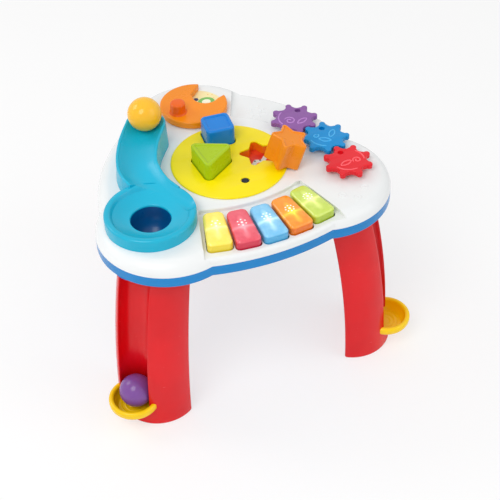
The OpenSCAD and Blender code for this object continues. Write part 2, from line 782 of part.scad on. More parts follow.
// Frame that carries the hinge pins, screwed to posts under the shelf
frame_z = hinge_z - lug_r - 3.5;
frame_t = 2.5;
frame_half = 2.5 * key_pitch - 0.2;
frame_inner = key_back(0) - 11;
frame_outer = key_rear + hinge_in + 10;
frame_post_r = 4;
frame_grip = 9;
module at_frame_screws() for (s = [-1, 1])
  translate(fan_at + polar(frame_inner + 5, -90 + s * 1.5 * key_pitch)) children();
module fan_plate(inner, outer, half, t) linear_extrude(t) translate(fan_at) difference() {
  intersection() {
    circle(outer, $fn = 240);
    wedge(-90, half, 0);
  }
  circle(inner, $fn = 240);
}
module key_frame() color("whitesmoke") placed() {
  difference() {
    translate([0, 0, frame_z]) fan_plate(frame_inner, frame_outer, frame_half, frame_t);
    at_frame_screws() cylinder(r = screw_r + 0.2, h = far);
  }
  for (k = [0:4], s = [-1, 1]) key_place(k) difference() {
    translate([key_back(k) + hinge_in - lug_r, s * (lug_w / 2 + ear_gap + ear_t / 2) - ear_t / 2,
        frame_z + frame_t - eps])
      cube([2 * lug_r, ear_t, hinge_z + lug_r - frame_z - frame_t]);
    translate([key_back(k) + hinge_in, 0, hinge_z]) rotate([90, 0, 0])
      cylinder(r = pin_r, h = far, center = true);
  }
}

// Board under the keys and its screws, in plan
board_screws = [for (s = [-1, 1]) fan_at + polar(key_front - 12, -90 + s * 1.5 * key_pitch)];
module key_board() color("seagreen") placed() difference() {
  translate([0, 0, kb_z]) fan_plate(frame_outer + 4, key_front - 8, frame_half - 0.6, board_t);
  for (p = board_screws) at_z(p, 0) cylinder(r = screw_r + 0.2, h = far);
}
module key_screws() color("silver") placed() {
  at_frame_screws() translate([0, 0, frame_z]) screw(frame_t + frame_grip - 1);
  for (p = board_screws) at_z(p, kb_top) mirror([0, 0, 1]) screw(board_t + kb_grip - 1);
}
module key_dome(k) color("gainsboro") placed() key_place(k) translate([key_tip(k) - dome_in, 0, kb_top])
  difference() {
    cylinder(r = dome_r, h = dome_h - seat);
    translate([0, 0, -eps]) cylinder(r = dome_r - 1.3, h = dome_h - 2.5);
  }
module key_dome_1() key_dome(0);
module key_dome_2() key_dome(1);
module key_dome_3() key_dome(2);
module key_dome_4() key_dome(3);
module key_dome_5() key_dome(4);
lamp_r = 2.5;
lamp_h = 5;
module key_lights() color("white") placed() for (k = [0:4]) key_place(k)
  translate([key_tip(k) - lamp_in, 0, kb_top]) {
    cylinder(r = lamp_r, h = lamp_h);
    translate([0, 0, lamp_h]) sphere(lamp_r);
  }

// ---- Electronics -----------------------------------------------------------------

module main_board() color("seagreen") placed() at_z(board_at, board_z) {
  translate([-board_l / 2, -board_w / 2, 0]) cube([board_l, board_w, board_t]);
  translate([0, 0, board_t - eps]) cylinder(r = 8, h = 2);
  translate([-18, 8, board_t - eps]) cylinder(r = 4, h = 8);
  translate([10, -16, board_t - eps]) cube([12, 6, 5]);
}
module speaker() color("dimgray") placed() at_z(speaker_at, plate_z) {
  tube(speaker_r, speaker_r - 3, 2);
  translate([0, 0, 2 - eps]) cylinder(r = speaker_r, h = 2);
  translate([0, 0, 4 - 2 * eps]) cylinder(r = speaker_r * 0.6, h = speaker_h - 4);
}
module speaker_ring() color("lightgray") placed() at_z(speaker_at, plate_z) difference() {
  cylinder(r = speaker_r + 3, h = 6);
  translate([0, 0, -eps]) cylinder(r = speaker_r + 0.2, h = 4 + seat);
  cylinder(r = speaker_r - 3, h = far);
}

box_wall = 2;
cell_z = plate_z + 1 + cell_d / 2;
box_h = 2 + cell_d + box_wall;
module battery_box() color("white") placed() at_z(box_at, plate_z) difference() {
  l = cell_len + 6 + 2 * box_wall;
  w = cell_count * cell_d + 2 + 2 * box_wall;
  translate([-l / 2, -w / 2, 0]) cube([l, w, box_h]);
  translate([box_wall - l / 2, box_wall - w / 2, -eps])
    cube([l - 2 * box_wall, w - 2 * box_wall, box_h - box_wall]);
}
function cell_y(k) = (k - (cell_count - 1) / 2) * (cell_d + 0.4);
module batteries() color("goldenrod") placed() for (k = [0:cell_count - 1])
  at_z(box_at + [-cell_len / 2, cell_y(k)], cell_z) rotate([0, 90, 0]) {
    cylinder(r = cell_d / 2, h = cell_len - 1);
    cylinder(r = 2.8, h = cell_len);
  }
module battery_contacts() color("silver") placed() for (k = [0:cell_count - 1], s = [-1, 1])
  at_z(box_at + [s * (cell_len / 2 + 1.5), cell_y(k)], cell_z) rotate([0, s * 90, 0]) {
    translate([0, 0, 0.9]) cylinder(r = 5, h = 0.6);
    translate([0, 0, -1.5]) cylinder(r = 2.5, h = 2.4 + eps);
  }
module battery_door() color("deepskyblue") placed() difference() {
  union() {
    at_z(box_at, base_z + door_t / 2) cube([door_l, door_w, door_t - 2 * eps], center = true);
    at_z(box_at, base_z + door_t + 0.4)
      cube([cell_len + 5, cell_count * cell_d + 1, 0.8 + 2 * eps], center = true);
  }
  at_z(door_screw_at, 0) cylinder(r = screw_r + 0.2, h = far);
}
module door_screw() color("silver") placed() at_z(door_screw_at, base_z + eps)
  screw(wall + door_post_h - 2);
module switch_body() color("black") placed() at_z(switch_at, plate_z) difference() {
  translate([-switch_slot / 2 - 3, -switch_w / 2 - 2, 0]) cube([switch_slot + 6, switch_w + 4, 6]);
  translate([-switch_slot / 2, -switch_w / 2, -eps]) cube([switch_slot, switch_w, 3.5]);
}
knob_travel = 6;
module switch_knob() color("black") placed() at_z(switch_at, base_z - 1.5)
  translate([-switch_slot / 2 + seat, -switch_w / 2 + seat, 0])
    cube([switch_slot - knob_travel - 2 * seat, switch_w - 2 * seat, 1.5 + wall + 3]);

// ---- Legs and trays ----------------------------------------------------------------

// A sweep along a large arc moves out by its splay over the leg's height
leg_turn = 2 * atan(leg_splay / base_z);
leg_arc = base_z / sin(leg_turn);
leg_over = 6;
groove_z = tray_floor + ball_d / 2;
groove_arc = (pow(base_z, 2) - pow(groove_z, 2)) / (2 * (groove_foot_u - groove_top_u));
groove_u0 = groove_foot_u + pow(groove_z, 2) / (2 * groove_arc);
leg_top_back = foot_u - leg_splay - leg_back;
tray_under = 3;
groove_end = tray_floor - tray_under;

module along_leg(arc_r, u) translate([u - arc_r, 0, 0]) rotate([90, 0, 0])
  rotate_extrude(angle = leg_turn + leg_over, $fn = 720) translate([arc_r, 0]) children();
module groove_section(r) {
  circle(r);
  translate([0, -r]) square([leg_r, 2 * r]);
}
module groove(r) along_leg(groove_arc, groove_u0) groove_section(r);
module between(z0, z1) intersection() {
  children();
  translate([-far, -far, z0]) cube([2 * far, 2 * far, z1 - z0]);
}

// One side of the leg is a round bar that bends inwards as well as back; the other is its mirror
leg_skew = atan(leg_narrow / leg_splay);
module leg_half(r) intersection() {
  translate([foot_u, 0, 0]) rotate([0, 0, leg_skew]) translate([-foot_u, 0, 0])
    along_leg(leg_arc, foot_u) circle(r);
  translate([0, 0, -far]) cube([far, far, 2 * far]);
}
module leg_solid(r, back) intersection() {
  union() {
    leg_half(r);
    mirror([0, 1, 0]) leg_half(r);
  }
  along_leg(leg_arc, foot_u) translate([-back, -2 * r]) square([2 * leg_r, 4 * r]);
}
module leg_blank(grow) between(0, base_z) leg_solid(leg_r + grow, leg_back + grow);
module leg(a) placed() at_lobe(a) difference() {
  union() {
    difference() {
      leg_blank(0);
      difference() {
        between(leg_wall, base_z - leg_wall) leg_solid(leg_r - leg_wall, leg_back - leg_wall);
        between(groove_end - leg_wall, far) groove(groove_r + leg_wall);
      }
    }
    at_stubs() translate([0, 0, base_z - leg_wall]) cylinder(r = stub_r, h = stub_h + leg_wall);
  }
  between(groove_end, far) groove(groove_r);
  at_stubs() translate([0, 0, base_z]) cylinder(r = screw_r, h = far);
  at_pegs() cylinder(r = peg_r + run_gap, h = groove_end);
}

// Pegs that fix the tray on the ledge at the groove's end
peg_r = 3;
peg_h = 6;
peg_v = 14;
peg_u = groove_foot_u - 12;
module at_pegs() for (s = [-1, 1]) translate([peg_u, s * peg_v, groove_end - peg_h]) children();
module left_leg() color("red") difference() {
  leg(left_a);
  placed() chute_core(0);
  placed() intersection() {
    chute_core(chute_wall + seat);
    at_lobe(left_a) translate([0, -far / 2, 0]) cube([leg_top_back + leg_wall, far, far]);
  }
}
module right_leg() color("red") leg(right_a);
module back_leg() color("red") leg(back_a);
washer_r = 6;
washer_t = 1.2;
leg_screw_l = 10;
module leg_screws() color("silver") placed() for (a = lobe_angles) at_lobe(a) at_stubs()
  translate([0, 0, base_z + sleeve_h]) {
    cylinder(r = washer_r, h = washer_t);
    translate([0, 0, washer_t - eps]) mirror([0, 0, 1]) screw(leg_screw_l);
  }

dish_r = 24;
dish_z = tray_floor + 9;
rim_mid = tray_floor + tray_rim - tray_lip / 2;
// Tray: a round dish round the leg; inside the groove only its floor is left
module tray(a) color("gold") placed() at_lobe(a) {
  difference() {
    translate([tray_u, 0, 0]) rotate_extrude() {
      polygon([[0, groove_end], [dish_r, groove_end], [tray_r, dish_z], [tray_r, rim_mid],
        [tray_r - tray_lip, rim_mid], [tray_r - tray_lip, dish_z + tray_under],
        [dish_r - tray_under, tray_floor], [0, tray_floor]]);
      translate([tray_r - tray_lip / 2, rim_mid]) circle(tray_lip / 2);
    }
    difference() {
      leg_blank(seat);
      between(groove_end - eps, far) groove(groove_r - seat);
    }
    translate([0, -far / 2, tray_floor]) cube([groove_foot_u - groove_r + 4, far, far]);
  }
  at_pegs() cylinder(r = peg_r, h = peg_h + tray_under);
}
module left_tray() tray(left_a);
module right_tray() tray(right_a);
module back_tray() tray(back_a);

// ---- Balls ------------------------------------------------------------------------

ball_r = ball_d / 2;
// The yellow ball rests on the slope of the ramp's round end, a little above its lowest line
ball_rise = 0.4;
module yellow_ball() color("gold") placed()
  at_z(ramp_line[0], start_z - ramp_depth + ball_r + seat + ball_rise) sphere(ball_r);
module purple_ball() color("mediumpurple") placed() at_lobe(left_a)
  translate([groove_foot_u, 0, groove_z + seat]) sphere(ball_r);

top_shell();
bottom_shell();
shell_screws();
sorter_disc();
light_window();
square_well();
triangle_well();
star_well();
star_floor();
ball_ramp();
drop_chute();
picture_plate();
dial();
dial_post();
gear_posts();
purple_gear();
blue_gear();
red_gear();
key_1();
key_2();
key_3();
key_4();
key_5();
key_pins();
key_frame();
key_board();
key_screws();
key_dome_1();
key_dome_2();
key_dome_3();
key_dome_4();
key_dome_5();
key_lights();
main_board();
speaker();
speaker_ring();
battery_box();
batteries();
battery_contacts();
battery_door();
door_screw();
switch_body();
switch_knob();
left_leg();
right_leg();
back_leg();
left_tray();
right_tray();
back_tray();
leg_screws();
yellow_ball();
purple_ball();
square_block();
triangle_block();
star_block();
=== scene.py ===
"""Looks of the musical activity table: smooth moulded pieces, plastics, lights and camera.

Plan sizes are millimetres from the table's middle, heights are millimetres above the floor.
"""

import math

import bmesh
import bpy
import numpy as np
from mathutils import Matrix, Vector
from mathutils.geometry import tessellate_polygon


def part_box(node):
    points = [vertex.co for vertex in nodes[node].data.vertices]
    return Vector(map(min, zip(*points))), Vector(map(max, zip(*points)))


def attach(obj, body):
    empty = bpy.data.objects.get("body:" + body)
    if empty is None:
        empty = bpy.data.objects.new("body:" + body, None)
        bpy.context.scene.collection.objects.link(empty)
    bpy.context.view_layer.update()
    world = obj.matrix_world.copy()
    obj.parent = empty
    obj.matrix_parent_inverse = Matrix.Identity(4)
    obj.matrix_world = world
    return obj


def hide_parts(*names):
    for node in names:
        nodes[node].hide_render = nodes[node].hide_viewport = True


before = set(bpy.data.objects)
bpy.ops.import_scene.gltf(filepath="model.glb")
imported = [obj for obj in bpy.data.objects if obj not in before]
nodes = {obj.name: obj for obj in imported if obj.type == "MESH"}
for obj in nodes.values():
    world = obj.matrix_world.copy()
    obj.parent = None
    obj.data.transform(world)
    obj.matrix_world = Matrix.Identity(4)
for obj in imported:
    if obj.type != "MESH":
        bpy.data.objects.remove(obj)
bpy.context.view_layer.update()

MM = 0.001
TURN = 2 * math.pi
SHARP = 38  # degrees between faces from which an edge stays sharp
DISC_AT = np.array([8.0, 12.0])
low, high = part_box("sorter_disc")
SHIFT_Y = (low.y + high.y) / 2 / MM - DISC_AT[1]
DISC_Z = high.z / MM
DECK_Z = DISC_Z - 3


def mid(node):
    """Middle of a node's box in plan millimetres, with its lowest and highest height."""
    a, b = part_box(node)
    return np.array([(a.x + b.x) / 2 / MM, (a.y + b.y) / 2 / MM - SHIFT_Y]), a.z / MM, b.z / MM


def polar(r, degrees):
    a = np.radians(degrees)
    return np.stack([r * np.cos(a), r * np.sin(a)], -1)


def turn(points, degrees):
    """Plan points turned about the origin."""
    c, s = math.cos(math.radians(degrees)), math.sin(math.radians(degrees))
    return np.asarray(points) @ np.array([[c, s], [-s, c]])


# ---- Meshes ------------------------------------------------------------------


def piece(name, points, faces, material, body, slot, stands_for=(), sharp=SHARP):
    """Mesh object from plan-frame points in millimetres."""
    points = np.asarray(points, float).reshape(-1, 3)
    mesh = bpy.data.meshes.new(name)
    mesh.from_pydata((points + [0, SHIFT_Y, 0]) * MM, [], faces)
    mesh.update()
    mesh.shade_smooth()
    mesh.set_sharp_from_angle(angle=math.radians(sharp))
    mesh.materials.append(material)
    obj = bpy.data.objects.new(name, mesh)
    bpy.context.scene.collection.objects.link(obj)
    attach(obj, body)
    if stands_for:
        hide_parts(*stands_for)
    return obj


def grid_faces(rows, columns, wrap_rows=False, wrap_columns=False, first=0):
    """Quads over a grid whose points are stored row by row."""
    r = np.arange(rows if wrap_rows else rows - 1)
    c = np.arange(columns if wrap_columns else columns - 1)
    r, c = np.meshgrid(r, c, indexing="ij")
    up, over = (r + 1) % rows, (c + 1) % columns
    quads = np.stack([r * columns + c, r * columns + over, up * columns + over, up * columns + c], -1)
    return (quads.reshape(-1, 4) + first).tolist()


def sheet_of(grid, wrap_rows=False, wrap_columns=False):
    grid = np.asarray(grid, float)
    return grid, grid_faces(*grid.shape[:2], wrap_rows, wrap_columns)


def outline_normals(outline):
    """Outward unit normals of a counter-clockwise closed outline, by central differences."""
    along = np.roll(outline, -1, 0) - np.roll(outline, 1, 0)
    normal = np.stack([along[:, 1], -along[:, 0]], -1)
    return normal / np.linalg.norm(normal, axis=1, keepdims=True)


def moulding(outline, profile, crown=0.0):
    """Closed solid: each profile pair (inset, height) is the outline moved inwards to that height;
    the top then closes in rings that shrink to its middle and rise to the crown."""
    normal = outline_normals(outline)
    rows = [np.column_stack([outline - inset * normal, np.full(len(outline), z)]) for inset, z in profile]
    middle = rows[-1][:, :2].mean(0)
    for share in (0.85, 0.65, 0.42, 0.2, 0.04):
        height = profile[-1][1] + crown * (1 - share ** 2)
        rows.append(np.column_stack([middle + share * (rows[len(profile) - 1][:, :2] - middle),
                                     np.full(len(outline), height)]))
    points = np.concatenate(rows)
    n, last = len(outline), (len(rows) - 1) * len(outline)
    faces = grid_faces(len(rows), n, wrap_columns=True)
    faces.append(list(range(n))[::-1])
    faces.append(list(range(last, last + n)))
    return points, faces


def edge(inset, z, radius, upper, steps=5):
    """Quarter-round edge that ends at (inset + radius) on top, or starts there underneath."""
    a = np.linspace(0, math.pi / 2, steps)
    if upper:
        return [(inset + radius * (1 - math.cos(t)), z - radius * (1 - math.sin(t))) for t in a]
    return [(inset + radius * (1 - math.sin(t)), z + radius * (1 - math.cos(t))) for t in a]


def rounded(corners, radii, steps=8):
    """Closed outline: each corner of a counter-clockwise polygon becomes an arc of its radius."""
    corners = np.asarray(corners, float)
    out = []
    for k, here in enumerate(corners):
        before, after = corners[k - 1] - here, corners[(k + 1) % len(corners)] - here
        u, v = before / np.linalg.norm(before), after / np.linalg.norm(after)
        half = math.acos(np.clip(u @ v, -1, 1)) / 2
        r = radii[k % len(radii)]
        centre = here + (u + v) / np.linalg.norm(u + v) * r / math.sin(half)
        start, end = here + u * r / math.tan(half) - centre, here + v * r / math.tan(half) - centre
        a = math.atan2(start[1], start[0])
        b = a + (math.atan2(end[1], end[0]) - a + math.pi) % TURN - math.pi
        t = np.linspace(a, b, steps)
        out.append(centre + r * np.stack([np.cos(t), np.sin(t)], -1))
    return np.concatenate(out)


def run_length(points):
    """Distance travelled along a line at each of its points."""
    return np.concatenate([[0], np.cumsum(np.linalg.norm(np.diff(points, axis=0), axis=1))])


def at_length(points, t):
    """Points of a 2-D line at the travelled distances t."""
    length = run_length(points)
    return np.stack([np.interp(t, length, points[:, i]) for i in (0, 1)], -1)


def resample(outline, step):
    """Closed outline with points about one step apart."""
    closed = np.vstack([outline, outline[:1]])
    length = run_length(closed)[-1]
    return at_length(closed, np.linspace(0, length, int(length / step), endpoint=False))


def averaged(outline, step, soft, reach):
    """Closed outline whose points are a Gaussian average of their neighbours up to reach steps off."""
    shift = np.arange(-reach, reach + 1)
    weight = np.exp(-0.5 * (shift * step / soft) ** 2)
    index = (np.arange(len(outline))[:, None] + shift) % len(outline)
    return (outline[index] * (weight / weight.sum())[None, :, None]).sum(1)


def turned(centre, profile, steps=96):
    """Surface of revolution: profile pairs (radius, height) turned about a plan point."""
    a = np.linspace(0, TURN, steps, endpoint=False)
    r, z = np.asarray(profile, float).T
    grid = np.stack([centre[0] + np.outer(r, np.cos(a)), centre[1] + np.outer(r, np.sin(a)),
                     np.repeat(z[:, None], steps, 1)], -1)
    return grid


def smooth_path(points, count):
    """Catmull-Rom curve through the points, with its parameter from 0 to their number less one."""
    points = np.asarray(points, float)
    t = np.linspace(0, len(points) - 1, count)
    i = np.minimum(t.astype(int), len(points) - 2)
    u = (t - i)[:, None]
    a, b = points[np.maximum(i - 1, 0)], points[i]
    c, d = points[i + 1], points[np.minimum(i + 2, len(points) - 1)]
    curve = 0.5 * (2 * b + (c - a) * u + (2 * a - 5 * b + 4 * c - d) * u ** 2
                   + (3 * b - a - 3 * c + d) * u ** 3)
    return t, curve


# ---- Materials ---------------------------------------------------------------


def linear(*rgb):
    """Linear colour from 8-bit values as a screen shows them."""
    c = np.array(rgb) / 255
    return tuple(np.where(c <= 0.04045, c / 12.92, ((c + 0.055) / 1.055) ** 2.4)) + (1.0,)


class Value:
    """A shader socket in Python arithmetic: each operator adds one Math node."""

    def __init__(self, paint, socket):
        self.paint, self.socket = paint, socket

    def math(self, operation, *others):
        return self.paint.node("ShaderNodeMath", {"operation": operation}, self, *others)

    def __add__(self, o): return self.math("ADD", o)
    def __radd__(self, o): return self.math("ADD", o)
    def __mul__(self, o): return self.math("MULTIPLY", o)
    def __rmul__(self, o): return self.math("MULTIPLY", o)
    def __sub__(self, o): return self.math("SUBTRACT", o)
    def __rsub__(self, o): return self.paint.node("ShaderNodeMath", {"operation": "SUBTRACT"}, o, self)
    def __truediv__(self, o): return self.math("DIVIDE", o)
    def __rtruediv__(self, o): return self.paint.node("ShaderNodeMath", {"operation": "DIVIDE"}, o, self)
    def __pow__(self, o): return self.math("POWER", o)
    def __abs__(self): return self.math("ABSOLUTE")
    def least(self, o): return self.math("MINIMUM", o)
    def most(self, o): return self.math("MAXIMUM", o)

    def step(self, at, soft):
        """0 below at, 1 above it, with a soft edge on both sides."""
        return self.paint.node("ShaderNodeMapRange", {"interpolation_type": "SMOOTHSTEP"},
                               self, at - soft, at + soft, 0.0, 1.0)


class Paint:
    """A material whose nodes are written as Python expressions."""

    def __init__(self, name):
        self.material = bpy.data.materials.new(name)
        self.material.use_nodes = True
        self.tree = self.material.node_tree
        self.shader = self.tree.nodes["Principled BSDF"]

    def put(self, socket, value):
        if isinstance(value, Value):
            self.tree.links.new(value.socket, socket)
        elif value is not None:
            socket.default_value = value

    def node(self, kind, settings=None, *values, out=0, **named):
        """A node: its settings, its inputs in order or by name, and which output is wanted."""
        made = self.tree.nodes.new(kind)
        for key, value in (settings or {}).items():
            setattr(made, key, value)
        inputs = [s for s in made.inputs if s.enabled]
        for socket, value in zip(inputs, values):
            self.put(socket, value)
        for key, value in named.items():
            self.put(made.inputs[key.replace("_", " ")], value)
        outputs = [s for s in made.outputs if s.enabled]
        return Value(self, outputs[out] if isinstance(out, int) else made.outputs[out])

    def place(self, centre=(0, 0, 0), degrees=0):
        """Coordinates in millimetres from a plan point, turned about it."""
        at = [-centre[0] * MM, -(centre[1] + SHIFT_Y) * MM, -centre[2] * MM]
        source = self.node("ShaderNodeTexCoord", out="Object")
        moved = self.node("ShaderNodeVectorMath", {"operation": "ADD"}, source, at)
        scaled = self.node("ShaderNodeVectorMath", {"operation": "SCALE"}, moved, Scale=1 / MM)
        if degrees:
            return self.node("ShaderNodeVectorRotate", {"rotation_type": "Z_AXIS"}, scaled,
                             Angle=math.radians(-degrees))
        return scaled

    def split(self, vector):
        made = self.tree.nodes.new("ShaderNodeSeparateXYZ")
        self.put(made.inputs[0], vector)
        return [Value(self, made.outputs[i]) for i in range(3)]

    def noise(self, vector, scale, detail=2.0, rough=0.5):
        return self.node("ShaderNodeTexNoise", None, Vector=vector, Scale=scale, Detail=detail,
                         Roughness=rough)

    def mix(self, factor, a, b):
        """Two colours mixed by a factor."""
        made = self.tree.nodes.new("ShaderNodeMix")
        made.data_type = "RGBA"
        self.put(made.inputs["Factor"], factor)
        sockets = [s for s in made.inputs if s.type == "RGBA"]
        self.put(sockets[0], a)
        self.put(sockets[1], b)
        return Value(self, next(s for s in made.outputs if s.type == "RGBA"))

    def bump(self, height, strength, distance=0.3):
        return self.node("ShaderNodeBump", None, Height=height, Strength=strength,
                         Distance=distance * MM)

    def finish(self, colour=None, rough=None, normal=None, **constants):
        self.put(self.shader.inputs["Base Color"], colour)
        self.put(self.shader.inputs["Roughness"], rough)
        self.put(self.shader.inputs["Normal"], normal)
        for key, value in constants.items():
            self.put(self.shader.inputs[key.replace("_", " ")], value)
        return self.material


def shaded(colour, factor):
    return tuple(min(1.0, c * factor) for c in colour[:3]) + (1.0,)


def moulded(name, colour, gloss=0.28, clouds=0.05, grain=0.05, soft=0.0, **constants):
    """Injection-moulded plastic: faint flow clouds in the colour, handled patches in the gloss,
    a fine orange-peel skin and a few hairline scuffs."""
    p = Paint(name)
    at = p.place()
    flow = p.noise(at, 0.012, 3.0)
    base = p.mix(flow.step(0.5, 0.25), shaded(colour, 1 - clouds), shaded(colour, 1 + clouds))
    smudge = p.noise(at, 0.035, 4.0, 0.6)
    stretched = p.node("ShaderNodeVectorMath", {"operation": "MULTIPLY"}, at, (0.05, 0.9, 0.3))
    scuff = p.noise(stretched, 1.0, 1.0).step(0.76, 0.012)
    skin = p.noise(at, 0.7, 2.0)
    rough = gloss + (smudge - 0.5) * 0.12 + scuff * 0.06
    height = skin * 0.6 - scuff * 0.25
    if soft:
        constants.update(Subsurface_Weight=soft, Subsurface_Scale=0.012,
                         Subsurface_Radius=(1.0, 0.6, 0.4))
    constants.setdefault("Specular_IOR_Level", 0.36)
    return p.finish(base, rough, p.bump(height, grain), IOR=1.49, **constants)


white = moulded("white_shell", linear(236, 238, 238), 0.24, 0.012, 0.035)
blue = moulded("blue_rim", linear(0, 128, 198), 0.22)
red = moulded("red_leg", linear(222, 12, 22), 0.22, 0.06)
teal = moulded("teal_ramp", linear(18, 176, 208), 0.24)
# Drop chute: the blue of the rim darkened, painted shade down in the hole.
chute_shade_blue = moulded("chute_blue_painted_shade", linear(0, 82, 140), 0.3)
disc_yellow = moulded("disc_yellow", linear(250, 228, 0), 0.3, 0.03)
tray_yellow = moulded("tray_yellow", linear(252, 208, 0), 0.24)
dial_orange = moulded("dial_orange", linear(246, 142, 12), 0.26)
knob_orange = moulded("knob_orange", linear(236, 98, 2), 0.26)
gear_purple = moulded("gear_purple", linear(140, 88, 160), 0.3)
gear_blue = moulded("gear_blue", linear(0, 138, 205), 0.3)
gear_red = moulded("gear_red", linear(226, 24, 38), 0.3)
# Lighter copies of the gear colours for the raised relief lines: painted highlight where the lines catch
# the light.
painted_highlight_purple = moulded("painted_highlight_purple", linear(186, 132, 204), 0.3)
painted_highlight_blue = moulded("painted_highlight_blue", linear(70, 176, 232), 0.3)
painted_highlight_red = moulded("painted_highlight_red", linear(252, 96, 104), 0.3)
block_blue = moulded("block_blue", linear(4, 126, 214), 0.26)
block_green = moulded("block_green", linear(170, 200, 12), 0.28)
block_orange = moulded("block_orange", linear(242, 142, 22), 0.28)
ball_yellow = moulded("ball_yellow", linear(252, 190, 44), 0.16, soft=0.1)
ball_purple = moulded("ball_purple", linear(128, 80, 158), 0.16, soft=0.1)
# Dark tones in the wells under the holes: painted shade inside the wells; the star well's orange is the
# yellow disc plastic with painted shade.
well_blue = moulded("well_blue", linear(20, 60, 110), 0.35)
well_green = moulded("well_green", linear(110, 130, 20), 0.35)
well_orange_painted_shade = moulded("well_orange_painted_shade", linear(238, 126, 14), 0.32)
grey = moulded("grey_post", linear(90, 92, 96), 0.4)
black = moulded("black_part", linear(26, 26, 28), 0.4)
lens = moulded("dark_lens", linear(3, 12, 34), 0.22)
silicone = moulded("silicone_dome", linear(214, 214, 208), 0.55, soft=0.2)
board = moulded("circuit_board", linear(20, 96, 52), 0.35, 0.12)
lamp = moulded("lamp_lens", linear(245, 246, 240), 0.1, soft=0.3)
steel = moulded("zinc_screw", linear(196, 198, 202), 0.32, 0.04, 0.08, Metallic=1.0)
wrap = moulded("cell_wrap", linear(196, 150, 60), 0.3, Metallic=0.4)


# ---- Outlines ----------------------------------------------------------------


def softened(points, step, soft):
    """Closed outline at even steps, each point the average of its stretch of about 2 x soft."""
    even_points = resample(np.asarray(points, float), step)
    return averaged(even_points, step, soft, max(1, int(round(2 * soft / step))))


def arc(centre, r, a0, a1, steps=24):
    return np.asarray(centre) + polar(r, np.linspace(a0, a1, steps))


def fill(outer, holes, z, upward):
    """Flat face at height z inside an outline and round its holes, as triangles."""
    loops = [outer] + list(holes)
    points = np.concatenate(loops)
    flat = [[(p[0], p[1], 0.0) for p in loop] for loop in loops]
    faces = np.array(tessellate_polygon(flat))
    a, b, c = (points[faces[:, i]] for i in range(3))
    area = (b[:, 0] - a[:, 0]) * (c[:, 1] - a[:, 1]) - (b[:, 1] - a[:, 1]) * (c[:, 0] - a[:, 0])
    faces[(area > 0) != upward] = faces[(area > 0) != upward][:, ::-1]
    faces = faces[np.abs(area) > 1e-9]
    return np.column_stack([points, np.full(len(points), float(z))]), faces.tolist()


def joined(*parts):
    """Several (points, faces) as one."""
    points, faces, start = [], [], 0
    for p, f in parts:
        p = np.asarray(p, float).reshape(-1, 3)
        points.append(p)
        faces += [[i + start for i in face] for face in f]
        start += len(p)
    return np.concatenate(points), faces


def wall_of(outline, profile, inward=False):
    """Side wall: profile pairs (inset, height) carried round an outline, no caps."""
    normal = outline_normals(outline)
    rows = [np.column_stack([outline - inset * normal, np.full(len(outline), float(z))])
            for inset, z in profile]
    faces = grid_faces(len(profile), len(outline), wrap_columns=True)
    if inward:
        faces = [f[::-1] for f in faces]
    return np.concatenate(rows), faces


def moved_in(outline, inset):
    return outline - inset * outline_normals(outline)


def flared(z, radius, steps=5):
    """Quarter round by which a hole's wall opens outwards up to height z."""
    return [(-radius * (1 - math.cos(t)), z - radius * (1 - math.sin(t)))
            for t in np.linspace(0, math.pi / 2, steps)]


def pierced(outline, holes, z0, z1, r_top, r_low, hole_edge):
    """Flat plate with round-edged rim and holes: walls round each outline, flat faces between."""
    parts = [wall_of(outline, edge(0, z0, r_low, False) + edge(0, z1, r_top, True))]
    for hole in holes:
        parts.append(wall_of(hole, [(0, z0)] + flared(z1, hole_edge), inward=True))
    parts.append(fill(moved_in(outline, r_top), [moved_in(h, -hole_edge) for h in holes], z1, True))
    parts.append(fill(moved_in(outline, r_low), holes, z0, False))
    return joined(*parts)


def sewn(obj, distance=0.02):
    """Merges the seams of a piece that was made of several surfaces."""
    b = bmesh.new()
    b.from_mesh(obj.data)
    bmesh.ops.remove_doubles(b, verts=b.verts, dist=distance * MM)
    b.to_mesh(obj.data)
    b.free()
    obj.data.set_sharp_from_angle(angle=math.radians(38))
    return obj


def dressed(node, material, body, pick=None, width=2.0, turns=3):
    """Copy of a CAD solid with its seams merged and smooth shading; the edges sharper than 35 degrees
    whose middle pick names get a rounded Bevel of that width."""
    source = nodes[node].data
    co = np.zeros(len(source.vertices) * 3)
    source.vertices.foreach_get("co", co)
    keys = np.round(co.reshape(-1, 3) / (0.002 * MM)).astype(np.int64)
    _, first, index = np.unique(keys, axis=0, return_index=True, return_inverse=True)
    index = index.reshape(-1)
    loops = np.zeros(len(source.loops), int)
    source.loops.foreach_get("vertex_index", loops)
    faces = index[loops].reshape(-1, 3)
    good = (faces[:, 0] != faces[:, 1]) & (faces[:, 1] != faces[:, 2]) & (faces[:, 0] != faces[:, 2])
    mesh = bpy.data.meshes.new(node + "_skin")
    mesh.from_pydata(co.reshape(-1, 3)[first], [], faces[good].tolist())
    b = bmesh.new()
    b.from_mesh(mesh)
    bmesh.ops.dissolve_limit(b, angle_limit=math.radians(0.3), verts=b.verts, edges=b.edges)
    if pick:
        layer = b.edges.layers.float.new("bevel_weight_edge")
        for e in b.edges:
            if len(e.link_faces) == 2 and e.calc_face_angle(0) > math.radians(35):
                m = (e.verts[0].co + e.verts[1].co) / 2 / MM
                if pick(m.x, m.y - SHIFT_Y, m.z):
                    e[layer] = 1.0
    b.to_mesh(mesh)
    b.free()
    mesh.shade_smooth()
    mesh.set_sharp_from_angle(angle=math.radians(SHARP))
    mesh.materials.append(material)
    obj = bpy.data.objects.new(mesh.name, mesh)
    bpy.context.scene.collection.objects.link(obj)
    if pick:
        bevel = obj.modifiers.new("soft_edges", "BEVEL")
        bevel.width, bevel.segments = width * MM, turns
        bevel.limit_method, bevel.use_clamp_overlap, bevel.harden_normals = "WEIGHT", False, True
    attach(obj, body)
    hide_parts(node)
    return obj


# ---- Table top ---------------------------------------------------------------

